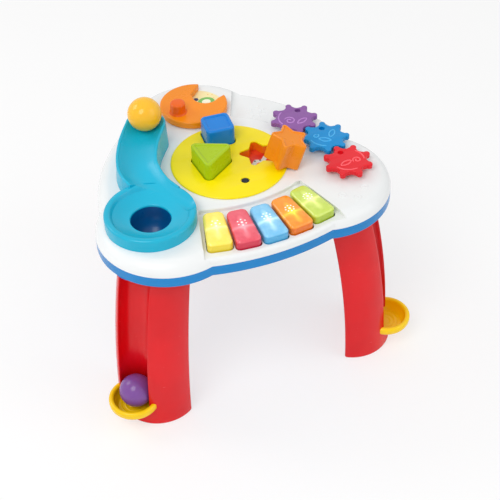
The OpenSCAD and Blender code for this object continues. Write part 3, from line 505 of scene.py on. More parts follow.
SHELF_Z = DECK_Z - 7
FAN_AT = np.array([6.0, 212.0])
STEP_AT, STEP_R = np.array([3.0, 128.0]), 215.0
STEP_KEEP = 148.0  # shelf edges further out than this stay plain
FAN_HALF = 15.85   # degrees from the keyboard's middle line to its side edges
BACK_R, BACK_SPAN = 128.0, (38.0, 66.0)  # inner edge of the back shelf and its two side angles


def on_step(x, y, z):
    """True on the long edges of the two low shelves and of the outer seam."""
    r_step = math.hypot(x - STEP_AT[0], y - STEP_AT[1])
    near_step = abs(r_step - STEP_R) < 1.2 and z > SHELF_Z - 0.5
    ang = math.degrees(math.atan2(x - FAN_AT[0], FAN_AT[1] - y))
    near_side = abs(abs(ang) - FAN_HALF) < 0.35 and z > SHELF_Z - 0.5 and y < -60
    r_back, a_back = math.hypot(x, y), math.degrees(math.atan2(y, x))
    start, end = BACK_SPAN
    near_back = (abs(r_back - BACK_R) < 1.2 and start - 1 < a_back < end + 1) or (
        r_back > BACK_R - 1 and min(abs(a_back - start), abs(a_back - end)) < 0.6)
    on_flat = math.hypot(x, y) < STEP_KEEP
    return on_flat and (near_step or near_side or (near_back and z > SHELF_Z - 0.5))


dressed("top_shell", white, "table", pick=on_step, width=2.2, turns=4)
dressed("bottom_shell", blue, "table",
        pick=lambda x, y, z: z < DECK_Z - 37.5 and math.hypot(x, y) > 160, width=2.5, turns=4)

# Shape outlines of the sorter, as in the CAD
SQUARE_AT, TRI_AT = np.array([14.0, 72.0]), np.array([-22.0, 11.0])
STAR_AT, WINDOW_AT = np.array([56.0, 10.0]), np.array([12.0, -41.0])
SQUARE_SIDE, SQUARE_CORNER, SQUARE_TURN = 44.5, 8, -5
TRI_TIP, TRI_CORNER, TRI_TURN = 40, 7, 4
STAR_TIP, STAR_TIP_R, STAR_WAIST, STAR_TURN = 29.0, 4.5, 0.62, 14
DISC_R, HOLE_GAP, BLOCK_H = 88, 1, 45


def square(grow):
    h = SQUARE_SIDE / 2 + grow
    corners = [(-h, -h), (h, -h), (h, h), (-h, h)]
    return turn(rounded(corners, [SQUARE_CORNER + grow], 10), SQUARE_TURN)


def triangle(grow):
    tips = polar(TRI_TIP + 2 * grow, np.array([0, 120, 240]))
    return turn(rounded(tips, [TRI_CORNER + grow], 16), TRI_TURN)


def star(grow):
    parts = []
    for a in range(0, 360, 72):
        parts.append(arc(polar(STAR_TIP - STAR_TIP_R, a), STAR_TIP_R + grow, a - 70, a + 70, 12))
        parts.append(polar(STAR_TIP * STAR_WAIST + grow, [a + 36]))
    return softened(np.concatenate(parts), 0.8, 1.0)


low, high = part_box("light_window")
WINDOW_R = (high.x - low.x) / 2 / MM + 0.3
holes = [SQUARE_AT + square(HOLE_GAP), TRI_AT + triangle(HOLE_GAP),
         STAR_AT + turn(star(HOLE_GAP), STAR_TURN), WINDOW_AT + arc((0, 0), WINDOW_R, 0, 352, 44)]
disc_edge = DISC_AT + arc((0, 0), DISC_R, 0, 358.5, 240)
sorter = piece("sorter_plate", *pierced(disc_edge, holes, DECK_Z + 0.4, DISC_Z, 2.0, 0.3, 1.1),
               disc_yellow, "table", "yellow_plastic", ["sorter_disc"])
sewn(sorter)


def block(name, outline, at, node, slot, material, z0, sunk, lean=None):
    """Moulded block: slight draft, a round top edge and a sunk panel with its own round edge."""
    top = z0 + BLOCK_H
    profile = edge(0.2, z0, 1.5, False) + [(0, z0 + BLOCK_H * 0.5)]
    profile += edge(0.2, top, min(3.0, sunk - 0.6), True, 7)
    profile += [(sunk, top), (sunk + 0.4, top - 0.3), (sunk + 0.8, top - 1.5), (sunk + 1.3, top - 1.8)]
    points, faces = moulding(outline, profile)
    if lean is None:
        points = points + [at[0], at[1], 0]
    else:
        foot, degrees, direction = lean
        c, s = math.cos(math.radians(degrees)), math.sin(math.radians(degrees))
        local = np.column_stack([turn(points[:, :2], -direction), points[:, 2] - z0])
        x, z = local[:, 0] - foot, local[:, 2]
        local = np.column_stack([c * x + s * z + foot, local[:, 1], -s * x + c * z])
        points = np.column_stack([turn(local[:, :2], direction) + at, local[:, 2] + z0])
    return piece(name, points, faces, material, node, slot, [node])


block("square_shape", softened(square(0), 1.2, 1.2), SQUARE_AT, "square_block", "block_blue",
      block_blue, mid("square_block")[1], 5.2)
block("triangle_shape", softened(triangle(0), 1.2, 1.2), TRI_AT, "triangle_block", "block_green",
      block_green, mid("triangle_block")[1], 4.9)
STAR_BLOCK_AT, STAR_LEAN, STAR_LEAN_TO = (77, -25), 17, -22
STAR_FOOT = (STAR_TIP - STAR_TIP_R) * math.cos(math.radians(36)) + STAR_TIP_R
block("star_shape", turn(star(-0.1), STAR_TURN), STAR_BLOCK_AT, "star_block", "block_orange",
      block_orange, DECK_Z + 0.3, 2.9, (STAR_FOOT, STAR_LEAN, STAR_LEAN_TO))

# ---- Ball ramp and bowl ------------------------------------------------------

BOWL_AT, BOWL_R, HOLE_R, RIM_Z = np.array([-144.0, -67.0]), 66.0, 29.0, DECK_Z + 20
RAMP_Z, HALF, LIP, DEEP = DECK_Z + 42, 30.0, 4.0, 10.0
STATIONS, ROWS, RUN_IN, DIP = 161, 121, 5.5, 0.8
RAMP_LINE = [(-90, 102), (-112, 71), (-127, 38), (-129.5, 12), (-121, -19), (-106, -46)]
RAMP_FALL = [0, 0.26, 0.52, 0.68, 0.88, 1]  # share of the fall at each point of the line
ramp_t, ramp_xy = smooth_path(RAMP_LINE, STATIONS)
fall_at = smooth_path(np.column_stack([RAMP_FALL, np.zeros(6)]), STATIONS)[1][:, 0]
ramp_way = np.gradient(ramp_xy, axis=0)
ramp_way /= np.linalg.norm(ramp_way, axis=1, keepdims=True)
ramp_z = RAMP_Z + (RIM_Z - RAMP_Z) * fall_at
ramp_half = HALF * (1 - 0.28 * np.clip((ramp_t - 3) / 2, 0, 1))


def ramp_section(half, z):
    """Full section across the ramp at one station, left foot to right foot."""
    inner = half - LIP
    q = np.linspace(-1, 1, 29)
    floor = np.column_stack([q * inner, z - DEEP * (1 - q ** 2)])
    t = np.linspace(0, math.pi, 13)
    lip_c, lip_r = half - 2.0, 2.6
    lip_right = np.column_stack([lip_c - lip_r * np.cos(t) * 0.95, z - 1.0 + lip_r * np.sin(t) * 0.75])
    keep = np.abs(floor[:, 0]) < lip_c - lip_r * 0.95
    down = np.linspace(0, 1, 6)[1:]
    foot = np.column_stack([half + 0.4 + 2.1 * down, (z - 1.5) + (DECK_Z - 0.5 - (z - 1.5)) * down])
    right = np.vstack([lip_right, foot])
    left = right[::-1] * [-1, 1]
    return np.vstack([left, floor[keep], right])


sections = [ramp_section(h, z) for h, z in zip(ramp_half, ramp_z)]


def even(section, count):
    """Section re-cut to a fixed number of points along its length."""
    return at_length(section, np.linspace(0, 1, count) * run_length(section)[-1])


ACROSS = 97
sections = np.array([even(s, ACROSS) for s in sections])


def ramp_surface():
    """Section carried along the path; each lengthwise line stops inside the bowl's rim circle, where
    it dips a little and then drops, so that no edge floats over the bowl."""
    side = np.column_stack([-ramp_way[:, 1], ramp_way[:, 0]])
    xy = ramp_xy[:, None] + sections[:, :, :1] * -side[:, None]
    r = np.linalg.norm(xy - BOWL_AT, axis=2)
    inside = r < BOWL_R - RUN_IN
    last = np.where(inside.any(0), inside.argmax(0), len(ramp_xy) - 1)
    share = np.linspace(0, 1, ROWS)
    rows = share[:, None] * last[None, :]
    i = np.minimum(rows.astype(int), len(ramp_xy) - 2)
    f = rows - i
    j = np.arange(ACROSS)[None, :]
    full = np.dstack([xy, sections[:, :, 1]])
    grid = full[i, j] * (1 - f)[..., None] + full[i + 1, j] * f[..., None]
    ends = inside.any(0)
    grid[:, ends, 2] -= DIP * (np.clip((share - 0.9) / 0.1, 0, 1) ** 2)[:, None]
    under = grid[-1:].copy()
    under[0, ends, 2] = DECK_Z + 3
    return np.concatenate([grid, under])


def ramp_end():
    """Round top end: the right half of the first section turned 180 degrees about the start."""
    half = sections[0][ACROSS // 2:]
    heading = math.degrees(math.atan2(ramp_way[0, 1], ramp_way[0, 0]))
    a = heading - 90 - np.linspace(0, 180, 49)
    plan = ramp_xy[0] + half[None, :, :1] * polar(1, a)[:, None]
    return np.dstack([plan, np.repeat(half[None, :, 1], len(a), 0)])


def bowl_surface():
    """Turned dish whose rim sinks to the ramp's floor where the ramp runs in."""
    lip = [(BOWL_R, DECK_Z - 0.5), (BOWL_R, DECK_Z + 8), (BOWL_R, RIM_Z - 4)]
    lip += edge_turn(BOWL_R, RIM_Z, 4.0)
    lip += [(59.5, RIM_Z + 0.1), (57.5, RIM_Z - 0.5), (56.2, RIM_Z - 1.9), (55.2, RIM_Z - 4.2),
            (53.8, DECK_Z + 13.4)]
    r = np.linspace(52, 31.5, 22)
    lip += [(q, DECK_Z + 5.6 + 7.2 * ((q - 31.5) / 20.5) ** 1.35) for q in r]
    lip += [(30.3, DECK_Z + 5.3), (29.5, DECK_Z + 4.6), (29.1, DECK_Z + 3.2), (29.0, DECK_Z - 4)]
    grid = turned(BOWL_AT, lip, 288)
    line, top, half = ramp_xy, ramp_z, ramp_half - LIP
    over = line[-1] + ramp_way[-1] * np.linspace(1, 30, 30)[:, None]
    line = np.vstack([line, over])
    top = np.append(top, np.full(30, top[-1]))
    half = np.append(half, np.full(30, half[-1]))
    gap = np.linalg.norm(grid[:, :, None, :2] - line[None, None], axis=3)
    near = gap.argmin(2)
    d, w = np.take_along_axis(gap, near[..., None], 2)[..., 0], half[near]
    floor = top[near] - DEEP * (1 - (d / w) ** 2)
    r = np.linalg.norm(grid[:, :, :2] - BOWL_AT, axis=2)
    sunk = (d < w) & (r < BOWL_R - 0.1)
    z = np.where(sunk, np.minimum(grid[:, :, 2], np.maximum(floor, DECK_Z + 5.2)), grid[:, :, 2])
    grid[:, :, 2] = np.where(r > HOLE_R + 3, z, grid[:, :, 2])
    return grid


def edge_turn(r, z, radius, steps=8):
    """Quarter round on the outer edge of a turned profile."""
    a = np.linspace(0, math.pi / 2, steps)
    return [(r - radius * (1 - math.cos(t)), z - radius * (1 - math.sin(t))) for t in a]


body_grid, end_grid, bowl_grid = ramp_surface(), ramp_end(), bowl_surface()
parts = [sheet_of(body_grid), (end_grid, [f[::-1] for f in grid_faces(*end_grid.shape[:2])]),
         sheet_of(bowl_grid, wrap_columns=True)]
ramp = piece("ball_run", *joined(*parts), teal, "table",
             "teal_plastic", ["ball_ramp"])
sewn(ramp, 0.05)
# The chute takes the darkened blue: painted shade inside the hole.
dressed("drop_chute", chute_shade_blue, "table")

# ---- Dial, plate and gears ---------------------------------------------------

DIAL_AT, DIAL_LOW, DIAL_TOP = np.array([7.0, 158.0]), DECK_Z + 2, DECK_Z + 13


def dial_outline():
    """Disc with its window: the rim's arc, then in and round the window's own arc."""
    window_c, window_r, rim = np.array([25.0, 12.0]), 20.5, 53.0
    start, end = math.degrees(math.atan2(45.75, 26.75)), 360 + math.degrees(math.atan2(2.5, 52.9))
    return softened(np.concatenate([
        arc((0, 0), rim, start, end, 180), [(40, -2)],
        arc(window_c, window_r, -43, -203, 60), [(3, 22)]]), 0.9, 2.0)


def dial_cover():
    """Walls with round edges carried round the outline, flat faces inside them."""
    outline = DIAL_AT + dial_outline()
    wall = wall_of(outline, edge(0, DIAL_LOW, 1.0, False) + edge(0, DIAL_TOP, 2.2, True, 7))
    lid = fill(moved_in(outline, 2.2), [], DIAL_TOP, True)
    return joined(wall, lid, fill(moved_in(outline, 1.0), [], DIAL_LOW, False))


points, faces = dial_cover()
KNOB_AT, KNOB_R, KNOB_H = DIAL_AT + (-30, -12), 11.8, 18
knob_foot = [(0.01, -1), (14.6, -1), (13.9, 0.3), (12.6, 1.6), (12.1, 3.5), (KNOB_R, 14)]
knob_top = edge_turn(KNOB_R, KNOB_H, 3.4) + [(5, KNOB_H + 0.2), (0.01, KNOB_H + 0.3)]
knob = turned(KNOB_AT, [(r, DIAL_TOP + z) for r, z in knob_foot + knob_top], 72)
piece("dial_cover", points, faces, dial_orange, "dial", "orange_plastic", ["dial"])
piece("dial_knob", *sheet_of(knob, wrap_columns=True), knob_orange, "dial", "orange_plastic", ["dial"])


GEAR_TOP = DECK_Z + 15
PIT_AT, PIT_R, PIT_DEEP, PIT_EDGE = 20.0, 4.5, 5.0, 0.9


def gear_radius(theta):
    """Distance from a gear's middle to its edge: round-ended bars between round valleys."""
    a = np.radians((theta + 22.5) % 45 - 22.5)
    tip = 32.25 * np.cos(a) + np.sqrt(np.clip(4.75 ** 2 - (32.25 * np.sin(a)) ** 2, 0, None))
    bar = 4.75 / np.maximum(np.sin(np.abs(a)), 1e-6)
    b = math.radians(22.5) - np.abs(a)
    valley = 34.5 * np.cos(b) - np.sqrt(np.clip(7.6 ** 2 - (34.5 * np.sin(b)) ** 2, 0, None))
    in_valley = np.abs(34.5 * np.sin(b)) < 7.6
    body = np.where(in_valley, np.minimum(valley, 30), 30)
    return np.where(np.abs(32.25 * np.sin(a)) < 4.75, tip, np.minimum(np.maximum(bar, body), 37))


def gear_plate(node, finger_angle, phase, material, slot):
    """Gear with round edges and a finger pit near its rim."""
    at, low_z, top_z = GEARS[node], DECK_Z + 7, GEAR_TOP
    theta = np.linspace(0, 360, 720, endpoint=False)
    outline = turn(softened(polar(1, theta) * gear_radius(theta)[:, None], 0.8, 0.75), phase)
    hole = polar(PIT_AT, finger_angle) + arc((0, 0), PIT_R, 0, 352.5, 40)
    profile = edge(0, low_z, 0.8, False) + edge(0, top_z, 1.5, True, 6)
    wall = wall_of(outline, profile)
    pit = wall_of(hole, [(0, top_z - PIT_DEEP)] + flared(top_z, PIT_EDGE), inward=True)
    lid = fill(moved_in(outline, 1.5), [moved_in(hole, -PIT_EDGE)], top_z, True)
    under = fill(moved_in(outline, 0.8), [], low_z, False)
    floor = fill(hole, [], top_z - PIT_DEEP, True)
    points, faces = joined(wall, pit, lid, under, floor)
    obj = piece(node + "_plate", points + [at[0], at[1], 0], faces, material, node, slot, [node])
    return sewn(obj)


BLUE_AT = np.array([157.0, -8.0])
RED_A, PURPLE_A = -84.8, 110.9
GEARS_APART = 66
GEARS = {"blue_gear": BLUE_AT, "red_gear": BLUE_AT + polar(GEARS_APART, RED_A),
         "purple_gear": BLUE_AT + polar(GEARS_APART, PURPLE_A)}
blue_phase = RED_A + 22.5
purple_phase = PURPLE_A + 180 - (blue_phase - PURPLE_A) + 22.5
gear_plate("purple_gear", 50, purple_phase, gear_purple, "purple_plastic")
gear_plate("blue_gear", 80, blue_phase, gear_blue, "gear_blue")
gear_plate("red_gear", 97, RED_A + 180, gear_red, "gear_red")

# ---- Keys --------------------------------------------------------------------


KEY_BACK, KEY_FRONT, KEY_BOW = 314, 385, 5  # distances from the fan's middle
KEY_WIDE, KEY_FLARE, KEY_PITCH = 30.5, 7.5, 6.1


def key_outline(k):
    """Plan of key k in its own frame, with where it starts and ends."""
    bow = KEY_BOW * ((k - 2) / 2) ** 2
    back, front = KEY_BACK - bow, KEY_FRONT - bow
    wide_back, wide_front = [(KEY_WIDE + KEY_FLARE * (r - KEY_BACK) / (KEY_FRONT - KEY_BACK)) / 2
                             for r in (back, front)]
    corners = [(back, -wide_back), (front, -wide_front), (front, wide_front), (back, wide_back)]
    return softened(rounded(corners, [9, 7, 7, 9], 12), 1.2, 1.0), back, front


def key_degrees(k):
    return (k - 2) * KEY_PITCH - 90


def key_points(k, points):
    """From a key's own frame, whose X runs from its hinge to its front, to the plan."""
    points = np.array(points, float)
    points[:, :2] = turn(points[:, :2], key_degrees(k)) + FAN_AT
    return points


KEY_TOP, KEY_LOW = SHELF_Z + 15, SHELF_Z - 6.1
# Each key: its colour, and a paler tint used for the clouds in the plastic and for the painted glow over
# its lamp.
KEYS = [("yellow", linear(250, 226, 60), linear(255, 246, 160)),
        ("red", linear(222, 48, 78), linear(255, 150, 160)),
        ("light_blue", linear(84, 182, 232), linear(205, 240, 250)),
        ("orange", linear(244, 122, 8), linear(255, 214, 60)),
        ("green", linear(186, 212, 62), linear(236, 244, 150))]
GLOW_AT = [0.52, 0.58, 0.56, 0.58, 0.52]  # place of each lamp, as a share of the key's length


def key_material(k, name, colour, light):
    """Clear tinted plastic with painted light from the lamp below: a soft star of painted glow over the
    lamp, printed dots, and painted shade on the flanks where the wall is seen edge on."""
    p = Paint("key_" + name)
    _, back, front = key_outline(k)
    a = math.radians(key_degrees(k))
    along = back + (front - back) * GLOW_AT[k]
    lamp_xy = FAN_AT + along * np.array([math.cos(a), math.sin(a)])
    q = p.place((lamp_xy[0], lamp_xy[1], KEY_TOP), degrees=math.degrees(a))
    x, y, z = p.split(q)
    r = (x * x + y * y) ** 0.5
    theta = p.node("ShaderNodeMath", {"operation": "ARCTAN2"}, y, x)
    # Painted glow: a soft star of light over the lamp, painted into the colour and the emission.
    ray = ((theta * 4).math("COSINE") * 0.5 + 0.5) ** 3
    core = (1 - r / 9.0).most(0.0) ** 1.5
    halo = (1 - r / (15.0 + ray * 12.0)).most(0.0)
    painted_glow = (core + halo * (0.35 + ray * 0.5)).least(1.0)
    top = z.step(-4.2, 1.2)
    dots = dotted(p, x, y, k)
    cloud = p.noise(q, 0.08, 3.0)
    body = p.mix((cloud - 0.5) * 0.6 + 0.25, colour, light)
    # Painted shade: the flanks below the top take a darker copy of the colour.
    painted_flank_shade = p.mix(top, shaded(colour, 0.86), body)
    # Painted light: the top lightens towards the paler tint over the lamp.
    lit = p.mix((painted_glow * top).least(1.0), painted_flank_shade, light)
    printed = p.mix(dots * top, lit, linear(250, 250, 246))
    # Painted glow in the emission: the star over the lamp, the printed dots faintly, and a tenth of the
    # colour over the whole key.
    painted_glow_emission = p.mix((painted_glow * top * 0.8 + dots * top * 0.1).least(1.0), shaded(colour, 0.10), light)
    skin = p.noise(q, 0.6, 2.0)
    return p.finish(printed, 0.14 + (skin - 0.5) * 0.06, p.bump(skin, 0.03), Emission_Color=painted_glow_emission,
                    Emission_Strength=0.62, Coat_Weight=0.4, Subsurface_Weight=0.25,
                    Subsurface_Scale=0.006, Subsurface_Radius=(1, 1, 1), IOR=1.49)


def dotted(p, x, y, k):
    """Printed mark: a ring of dots and a small middle dot, set beside the light."""
    cx, cy = x + 9.0, y
    r = (cx * cx + cy * cy) ** 0.5
    theta = p.node("ShaderNodeMath", {"operation": "ARCTAN2"}, cy, cx)
    n = 5 + k
    spin = (theta * (n / TURN) + 10.5).math("FRACT") - 0.5
    arc_x = spin * (TURN * 6.2 / n)
    ring = 1 - (((r - 6.2) ** 2 + arc_x * arc_x) ** 0.5).step(1.25, 0.2)
    middle = 1 - r.step(1.8, 0.2)
    return (ring + middle).least(1.0)


for k, (name, colour, light) in enumerate(KEYS):
    outline, back, front = key_outline(k)
    profile = [(3, KEY_LOW), (1.0, KEY_LOW), (0.2, KEY_LOW + 0.8)] + [(0, KEY_LOW + 4), (0, KEY_TOP - 6)]
    profile += edge(0, KEY_TOP - 1.0, 5.2, True, 9)
    points, faces = moulding(outline, profile, 1.0)
    piece("key_cap_%d" % (k + 1), key_points(k, points), faces, key_material(k, name, colour, light),
          "key_%d" % (k + 1), "key_" + name, ["key_%d" % (k + 1)], sharp=60)

# ---- Legs, trays and balls -----------------------------------------------------

BASE_Z, FOOT_U, SPLAY, NARROW, LEG_R, BACK = DECK_Z - 38, 194.0, 33.0, 6.0, 62.0, 6.0
GROOVE_R, GROOVE_FOOT, GROOVE_TOP, LEDGE_Z = 28.0, 243.0, 212.0, 26.0
TRAY_FLOOR, TRAY_U, TRAY_R = 29.0, 249.0, 39.0
BALL_D, FOOT_EDGE = 51.3, 3.5
SIDES = {"left": -150, "right": -30, "back": 90}
leg_arc = BASE_Z / math.sin(2 * math.atan(SPLAY / BASE_Z))
groove_mid = TRAY_FLOOR + BALL_D / 2
groove_arc = (BASE_Z ** 2 - groove_mid ** 2) / (2 * (GROOVE_FOOT - GROOVE_TOP))


def leg_section(z, grooved, soft=2.2, count=420):
    """Half-round outline of a leg at height z: flat back, two round flanks that close in towards
    the top, and a U groove with straight sides; its corners are averaged soft."""
    bend = leg_arc - math.sqrt(leg_arc ** 2 - z ** 2)
    skew = math.atan(NARROW / SPLAY)
    c, s = FOOT_U - bend * math.cos(skew), bend * math.sin(skew)
    back_u = FOOT_U - bend - BACK
    a0 = math.degrees(math.acos((back_u - c) / LEG_R))
    groove_u = GROOVE_FOOT - (z ** 2 - groove_mid ** 2) / (2 * groove_arc)
    lip = math.degrees(math.asin((s + (GROOVE_R if grooved else 0)) / LEG_R))
    left = arc((c, s), LEG_R, -a0, -lip, 60)
    right = arc((c, -s), LEG_R, lip, a0, 60)
    cut = [arc((groove_u, 0), GROOVE_R, 270, 90, 60)] if grooved else []
    outline = np.vstack([left, *cut, right])
    closed = np.vstack([outline, outline[:1]])
    step = run_length(closed)[-1] / count
    return averaged(at_length(closed, np.arange(count) * step), step, soft, int(round(3 * soft / step)))


def leg_stack(heights, insets, grooved):
    """Leg outlines at rising heights, each moved in by its inset, closed below and above."""
    rows = []
    for z, inset in zip(heights, insets):
        outline = leg_section(z, grooved)
        rows.append(np.column_stack([moved_in(outline, inset), np.full(len(outline), z)]))
    n = len(rows[0])
    return np.concatenate(rows), grid_faces(len(rows), n, wrap_columns=True), n


def capped(stack):
    points, faces, n = stack
    low, top = points[:n], points[-n:]
    lid = fill(top[:, :2], [], top[0, 2], True)
    base = fill(low[:, :2], [], low[0, 2], False)
    return joined((points, faces), base, lid)


def to_side(points, degrees):
    points = np.array(points, float)
    points[:, :2] = turn(points[:, :2], degrees)
    return points


def leg(side, degrees):
    """Leg in two stacks: a full foot with a round lower edge, and the grooved part above its ledge."""
    round_in, round_z = [[FOOT_EDGE * (1 - f(t)) for t in np.linspace(0, math.pi / 2, 7)]
                         for f in (math.sin, math.cos)]
    foot = capped(leg_stack(round_z + [10, 18, LEDGE_Z], round_in + [0, 0, 0], False))
    heights = np.linspace(LEDGE_Z, BASE_Z, 58)
    upper = capped(leg_stack(heights, 0 * heights, True))
    points, faces = joined(foot, upper)
    piece(side + "_leg_shell", to_side(points, degrees), faces, red, "table", "red_plastic",
          [side + "_leg"])


def tray(side, degrees):
    """Turned dish: a round rim, a sloping wall, and low rings moulded into the floor."""
    floor = np.linspace(0, 1, 61)
    r = floor * 25.5
    ripple = 0.55 * np.exp(-((r[:, None] - np.array([8.5, 14.5, 20.5])) / 0.75) ** 2).sum(1)
    inside = [(max(q, 0.01), TRAY_FLOOR + 0.15 + w) for q, w in zip(r, ripple)]
    inside += [(27.5, TRAY_FLOOR + 2.4), (29.6, TRAY_FLOOR + 6.5), (30.7, TRAY_FLOOR + 10)]
    t = np.linspace(math.pi, -0.2, 22)
    rim = [(TRAY_R - 4 + 4 * math.cos(q), TRAY_FLOOR + 15 + 4 * math.sin(q)) for q in t]
    outside = [(TRAY_R, TRAY_FLOOR + 11), (TRAY_R - 0.3, TRAY_FLOOR + 9), (TRAY_R - 2, TRAY_FLOOR + 6),
               (28, TRAY_FLOOR - 0.5), (25, TRAY_FLOOR - 2.4), (22, LEDGE_Z), (0.01, LEDGE_Z)]
    profile = (inside + rim + outside)[::-1]
    grid = turned((TRAY_U, 0), profile, 144)
    points = to_side(grid.reshape(-1, 3), degrees)
    return piece(side + "_tray_dish", points, grid_faces(*grid.shape[:2], wrap_columns=True), tray_yellow,
                 "table", "tray_yellow", [side + "_tray"])


for side, degrees in SIDES.items():
    leg(side, degrees)
    tray(side, degrees)


def ball(node, material, slot):
    """Sphere with a fine raised seam where its two halves were closed."""
    at, z0, z1 = mid(node)
    r, z_mid = (z1 - z0) / 2, (z0 + z1) / 2
    a = np.linspace(-math.pi / 2, math.pi / 2, 121)
    seam = 0.06 * np.exp(-(a / 0.012) ** 2)
    tilt = math.radians(24)
    radii = np.maximum((r + seam - 0.06) * np.cos(a), 0.005)
    grid = turned((0, 0), np.column_stack([radii, (r - 0.06) * np.sin(a)]), 144)
    x, y, z = grid.reshape(-1, 3).T
    points = np.column_stack([x + at[0], y * math.cos(tilt) - z * math.sin(tilt) + at[1],
                              y * math.sin(tilt) + z * math.cos(tilt) + z_mid])
    return piece(node + "_shell", points, grid_faces(*grid.shape[:2], wrap_columns=True), material, node,
                 slot, [node])


ball("yellow_ball", ball_yellow, "ball_yellow")
ball("purple_ball", ball_purple, "ball_purple")

# ---- Low reliefs on the white shell ----------------------------------------------


def relief_ring(at, z, r, half=1.1, rise=0.7):
    """Raised half-round ring about a plan point."""
    a = np.linspace(0, math.pi, 9)
    profile = [(r + half * math.cos(t), z - 0.2 + rise * math.sin(t)) for t in a]
    return turned(at, profile, 96)


def relief_line(path, z, half=1.2, rise=1.0, fade=12, steps=7, sink=0.15):
    """Raised line: a half-round section carried along a smooth plan path, fading out at its ends."""
    path = np.asarray(path, float)
    way = np.gradient(path, axis=0)
    way /= np.linalg.norm(way, axis=1, keepdims=True)
    side = np.column_stack([-way[:, 1], way[:, 0]])
    s = np.linspace(-1, 1, len(path))
    grow = np.sqrt(np.clip(1 - s ** fade, 0, 1))
    a = np.linspace(0, math.pi, steps)
    plan = path[:, None] + side[:, None] * (half * np.outer(grow, np.cos(a)))[..., None]
    return np.dstack([plan, z - sink + rise * np.outer(grow, np.sin(a))])


def wave_leaf(length, width):
    """Leaf: two mirrored arcs from tip to tip, as plan paths about the origin."""
    t = np.linspace(-1, 1, 60)
    return [np.column_stack([t * length / 2, q * width / 2 * (1 - t * t)]) for q in (-1, 1)]


def curl(r0, r1, a0, a1):
    """Spiral whose radius grows evenly with its angle."""
    t = np.linspace(0, 1, 90)[:, None]
    return (r0 + (r1 - r0) * t) * polar(1, a0 + (a1 - a0) * t[:, 0])


def gear_relief(node, lines, material, slot):
    """Low moulded lines on a gear's face, set about its middle."""
    at = GEARS[node]
    parts = [sheet_of(relief_line(np.asarray(line) + at, GEAR_TOP)) for line in lines]
    piece(node + "_relief", *joined(*parts), material, node, slot)


leaf = wave_leaf(20, 8)
# The relief lines take the lighter gear colours: painted highlight on the raised lines.
gear_relief("purple_gear", [curl(2, 9, 0, 500) + (-9, -4)] + [turn(q, 20) + (8, -12) for q in leaf]
            + [arc((0, 0), 24, 120, 200, 50)], painted_highlight_purple, "purple_plastic")
gear_relief("blue_gear", [turn(q, -35) + (-4, -8) for q in leaf] + [turn(q, 50) + (12, 2) for q in leaf]
            + [arc((0, 0), 24, 180, 250, 50), curl(1.5, 5, 0, 400) + (-13, 6)], painted_highlight_blue, "gear_blue")
gear_relief("red_gear", [turn(q, 15) + (-6, -6) for q in leaf] + [curl(1.5, 7, 90, 560) + (12, -6)]
            + [arc((0, 0), 24, 200, 280, 50), arc((0, 0), 24, -20, 40, 40)], painted_highlight_red, "gear_red")

SUN_AT = (98.0, 122.0)
sun = [sheet_of(relief_ring(SUN_AT, SHELF_Z, 8.5), wrap_columns=True)]
sun += [sheet_of(relief_line(SUN_AT + polar(np.linspace(11.5, 17.5, 25), q), SHELF_Z, 1.3, 0.7, 8, 9, 0.2))
        for q in range(0, 360, 45)]
piece("sun_relief", *joined(*sun), white, "table", "white_plastic")
marks = []
for at in ((128.0, -128.0), (165.0, -124.0), (146.0, -142.0)):
    marks.append(sheet_of(relief_ring(at, DECK_Z, 5.5, 0.9, 0.6), wrap_columns=True))
    marks.append(sheet_of(relief_ring(at, DECK_Z, 1.2, 1.0, 0.6), wrap_columns=True))
piece("lobe_relief", *joined(*marks), white, "table", "white_plastic")

# ---- Finishes of the CAD solids that stay ----------------------------------------


def printed_plate():
    """Cream printed plate: a green ring round a pale blob, a dark spot and soft rings of colour."""
    p = Paint("printed_plate")
    x, y, _ = p.split(p.place((32, 168, 0)))
    wobble = (p.noise(p.place(), 0.06, 2.0) - 0.5) * 2.5
    r = (x * x + (y * 1.15) * (y * 1.15)) ** 0.5 + wobble
    cream, green = linear(250, 236, 176), linear(120, 190, 92)
    pale, ink = linear(250, 252, 226), linear(24, 52, 104)
    base = p.mix(p.noise(p.place(), 0.03, 3.0).step(0.5, 0.3), cream, shaded(cream, 0.94))
    ring = (1 - abs(r - 10.5).step(3.2, 0.5)).most(0)
    inside = 1 - r.step(7.4, 0.5)
    art = p.mix(ring, p.mix(inside, base, pale), green)
    sx, sy, _ = p.split(p.place((19, 180, 0)))
    spot = 1 - ((sx * sx + sy * sy) ** 0.5).step(4.0, 0.4)
    dots = p.node("ShaderNodeTexVoronoi", {"feature": "F1"}, Vector=p.place(), Scale=0.11, Randomness=0.6)
    fleck = (1 - dots.step(0.13, 0.02)) * (r.step(15, 1))
    art = p.mix(fleck * 0.8, p.mix(spot, art, ink), linear(246, 176, 60))
    return p.finish(art, 0.3 + (p.noise(p.place(), 0.05, 2.0) - 0.5) * 0.1,
                    p.bump(p.noise(p.place(), 0.9, 1.0), 0.03), IOR=1.49)


def star_print():
    """Printed floor of the star well: a pale wavy band with dark dots on red."""
    p = Paint("star_floor_print")
    q = p.place((56, 10, 0), degrees=14)
    x, y, _ = p.split(q)
    wave = abs(y + (x * 0.35).math("SINE") * 2.2)
    band = 1 - wave.step(4.2, 0.5)
    cells = p.node("ShaderNodeTexVoronoi", {"feature": "F1"}, Vector=q, Scale=0.14, Randomness=0.8)
    dots = 1 - cells.step(0.3, 0.04)
    tint = p.mix(p.noise(q, 0.05, 2.0).step(0.5, 0.2), linear(214, 40, 26), linear(234, 74, 34))
    art = p.mix(band, tint, linear(214, 222, 214))
    art = p.mix(dots * band, art, linear(46, 62, 84))
    return p.finish(art, 0.34 + (p.noise(q, 0.06, 2.0) - 0.5) * 0.1, p.bump(p.noise(q, 0.9, 1.0), 0.03))


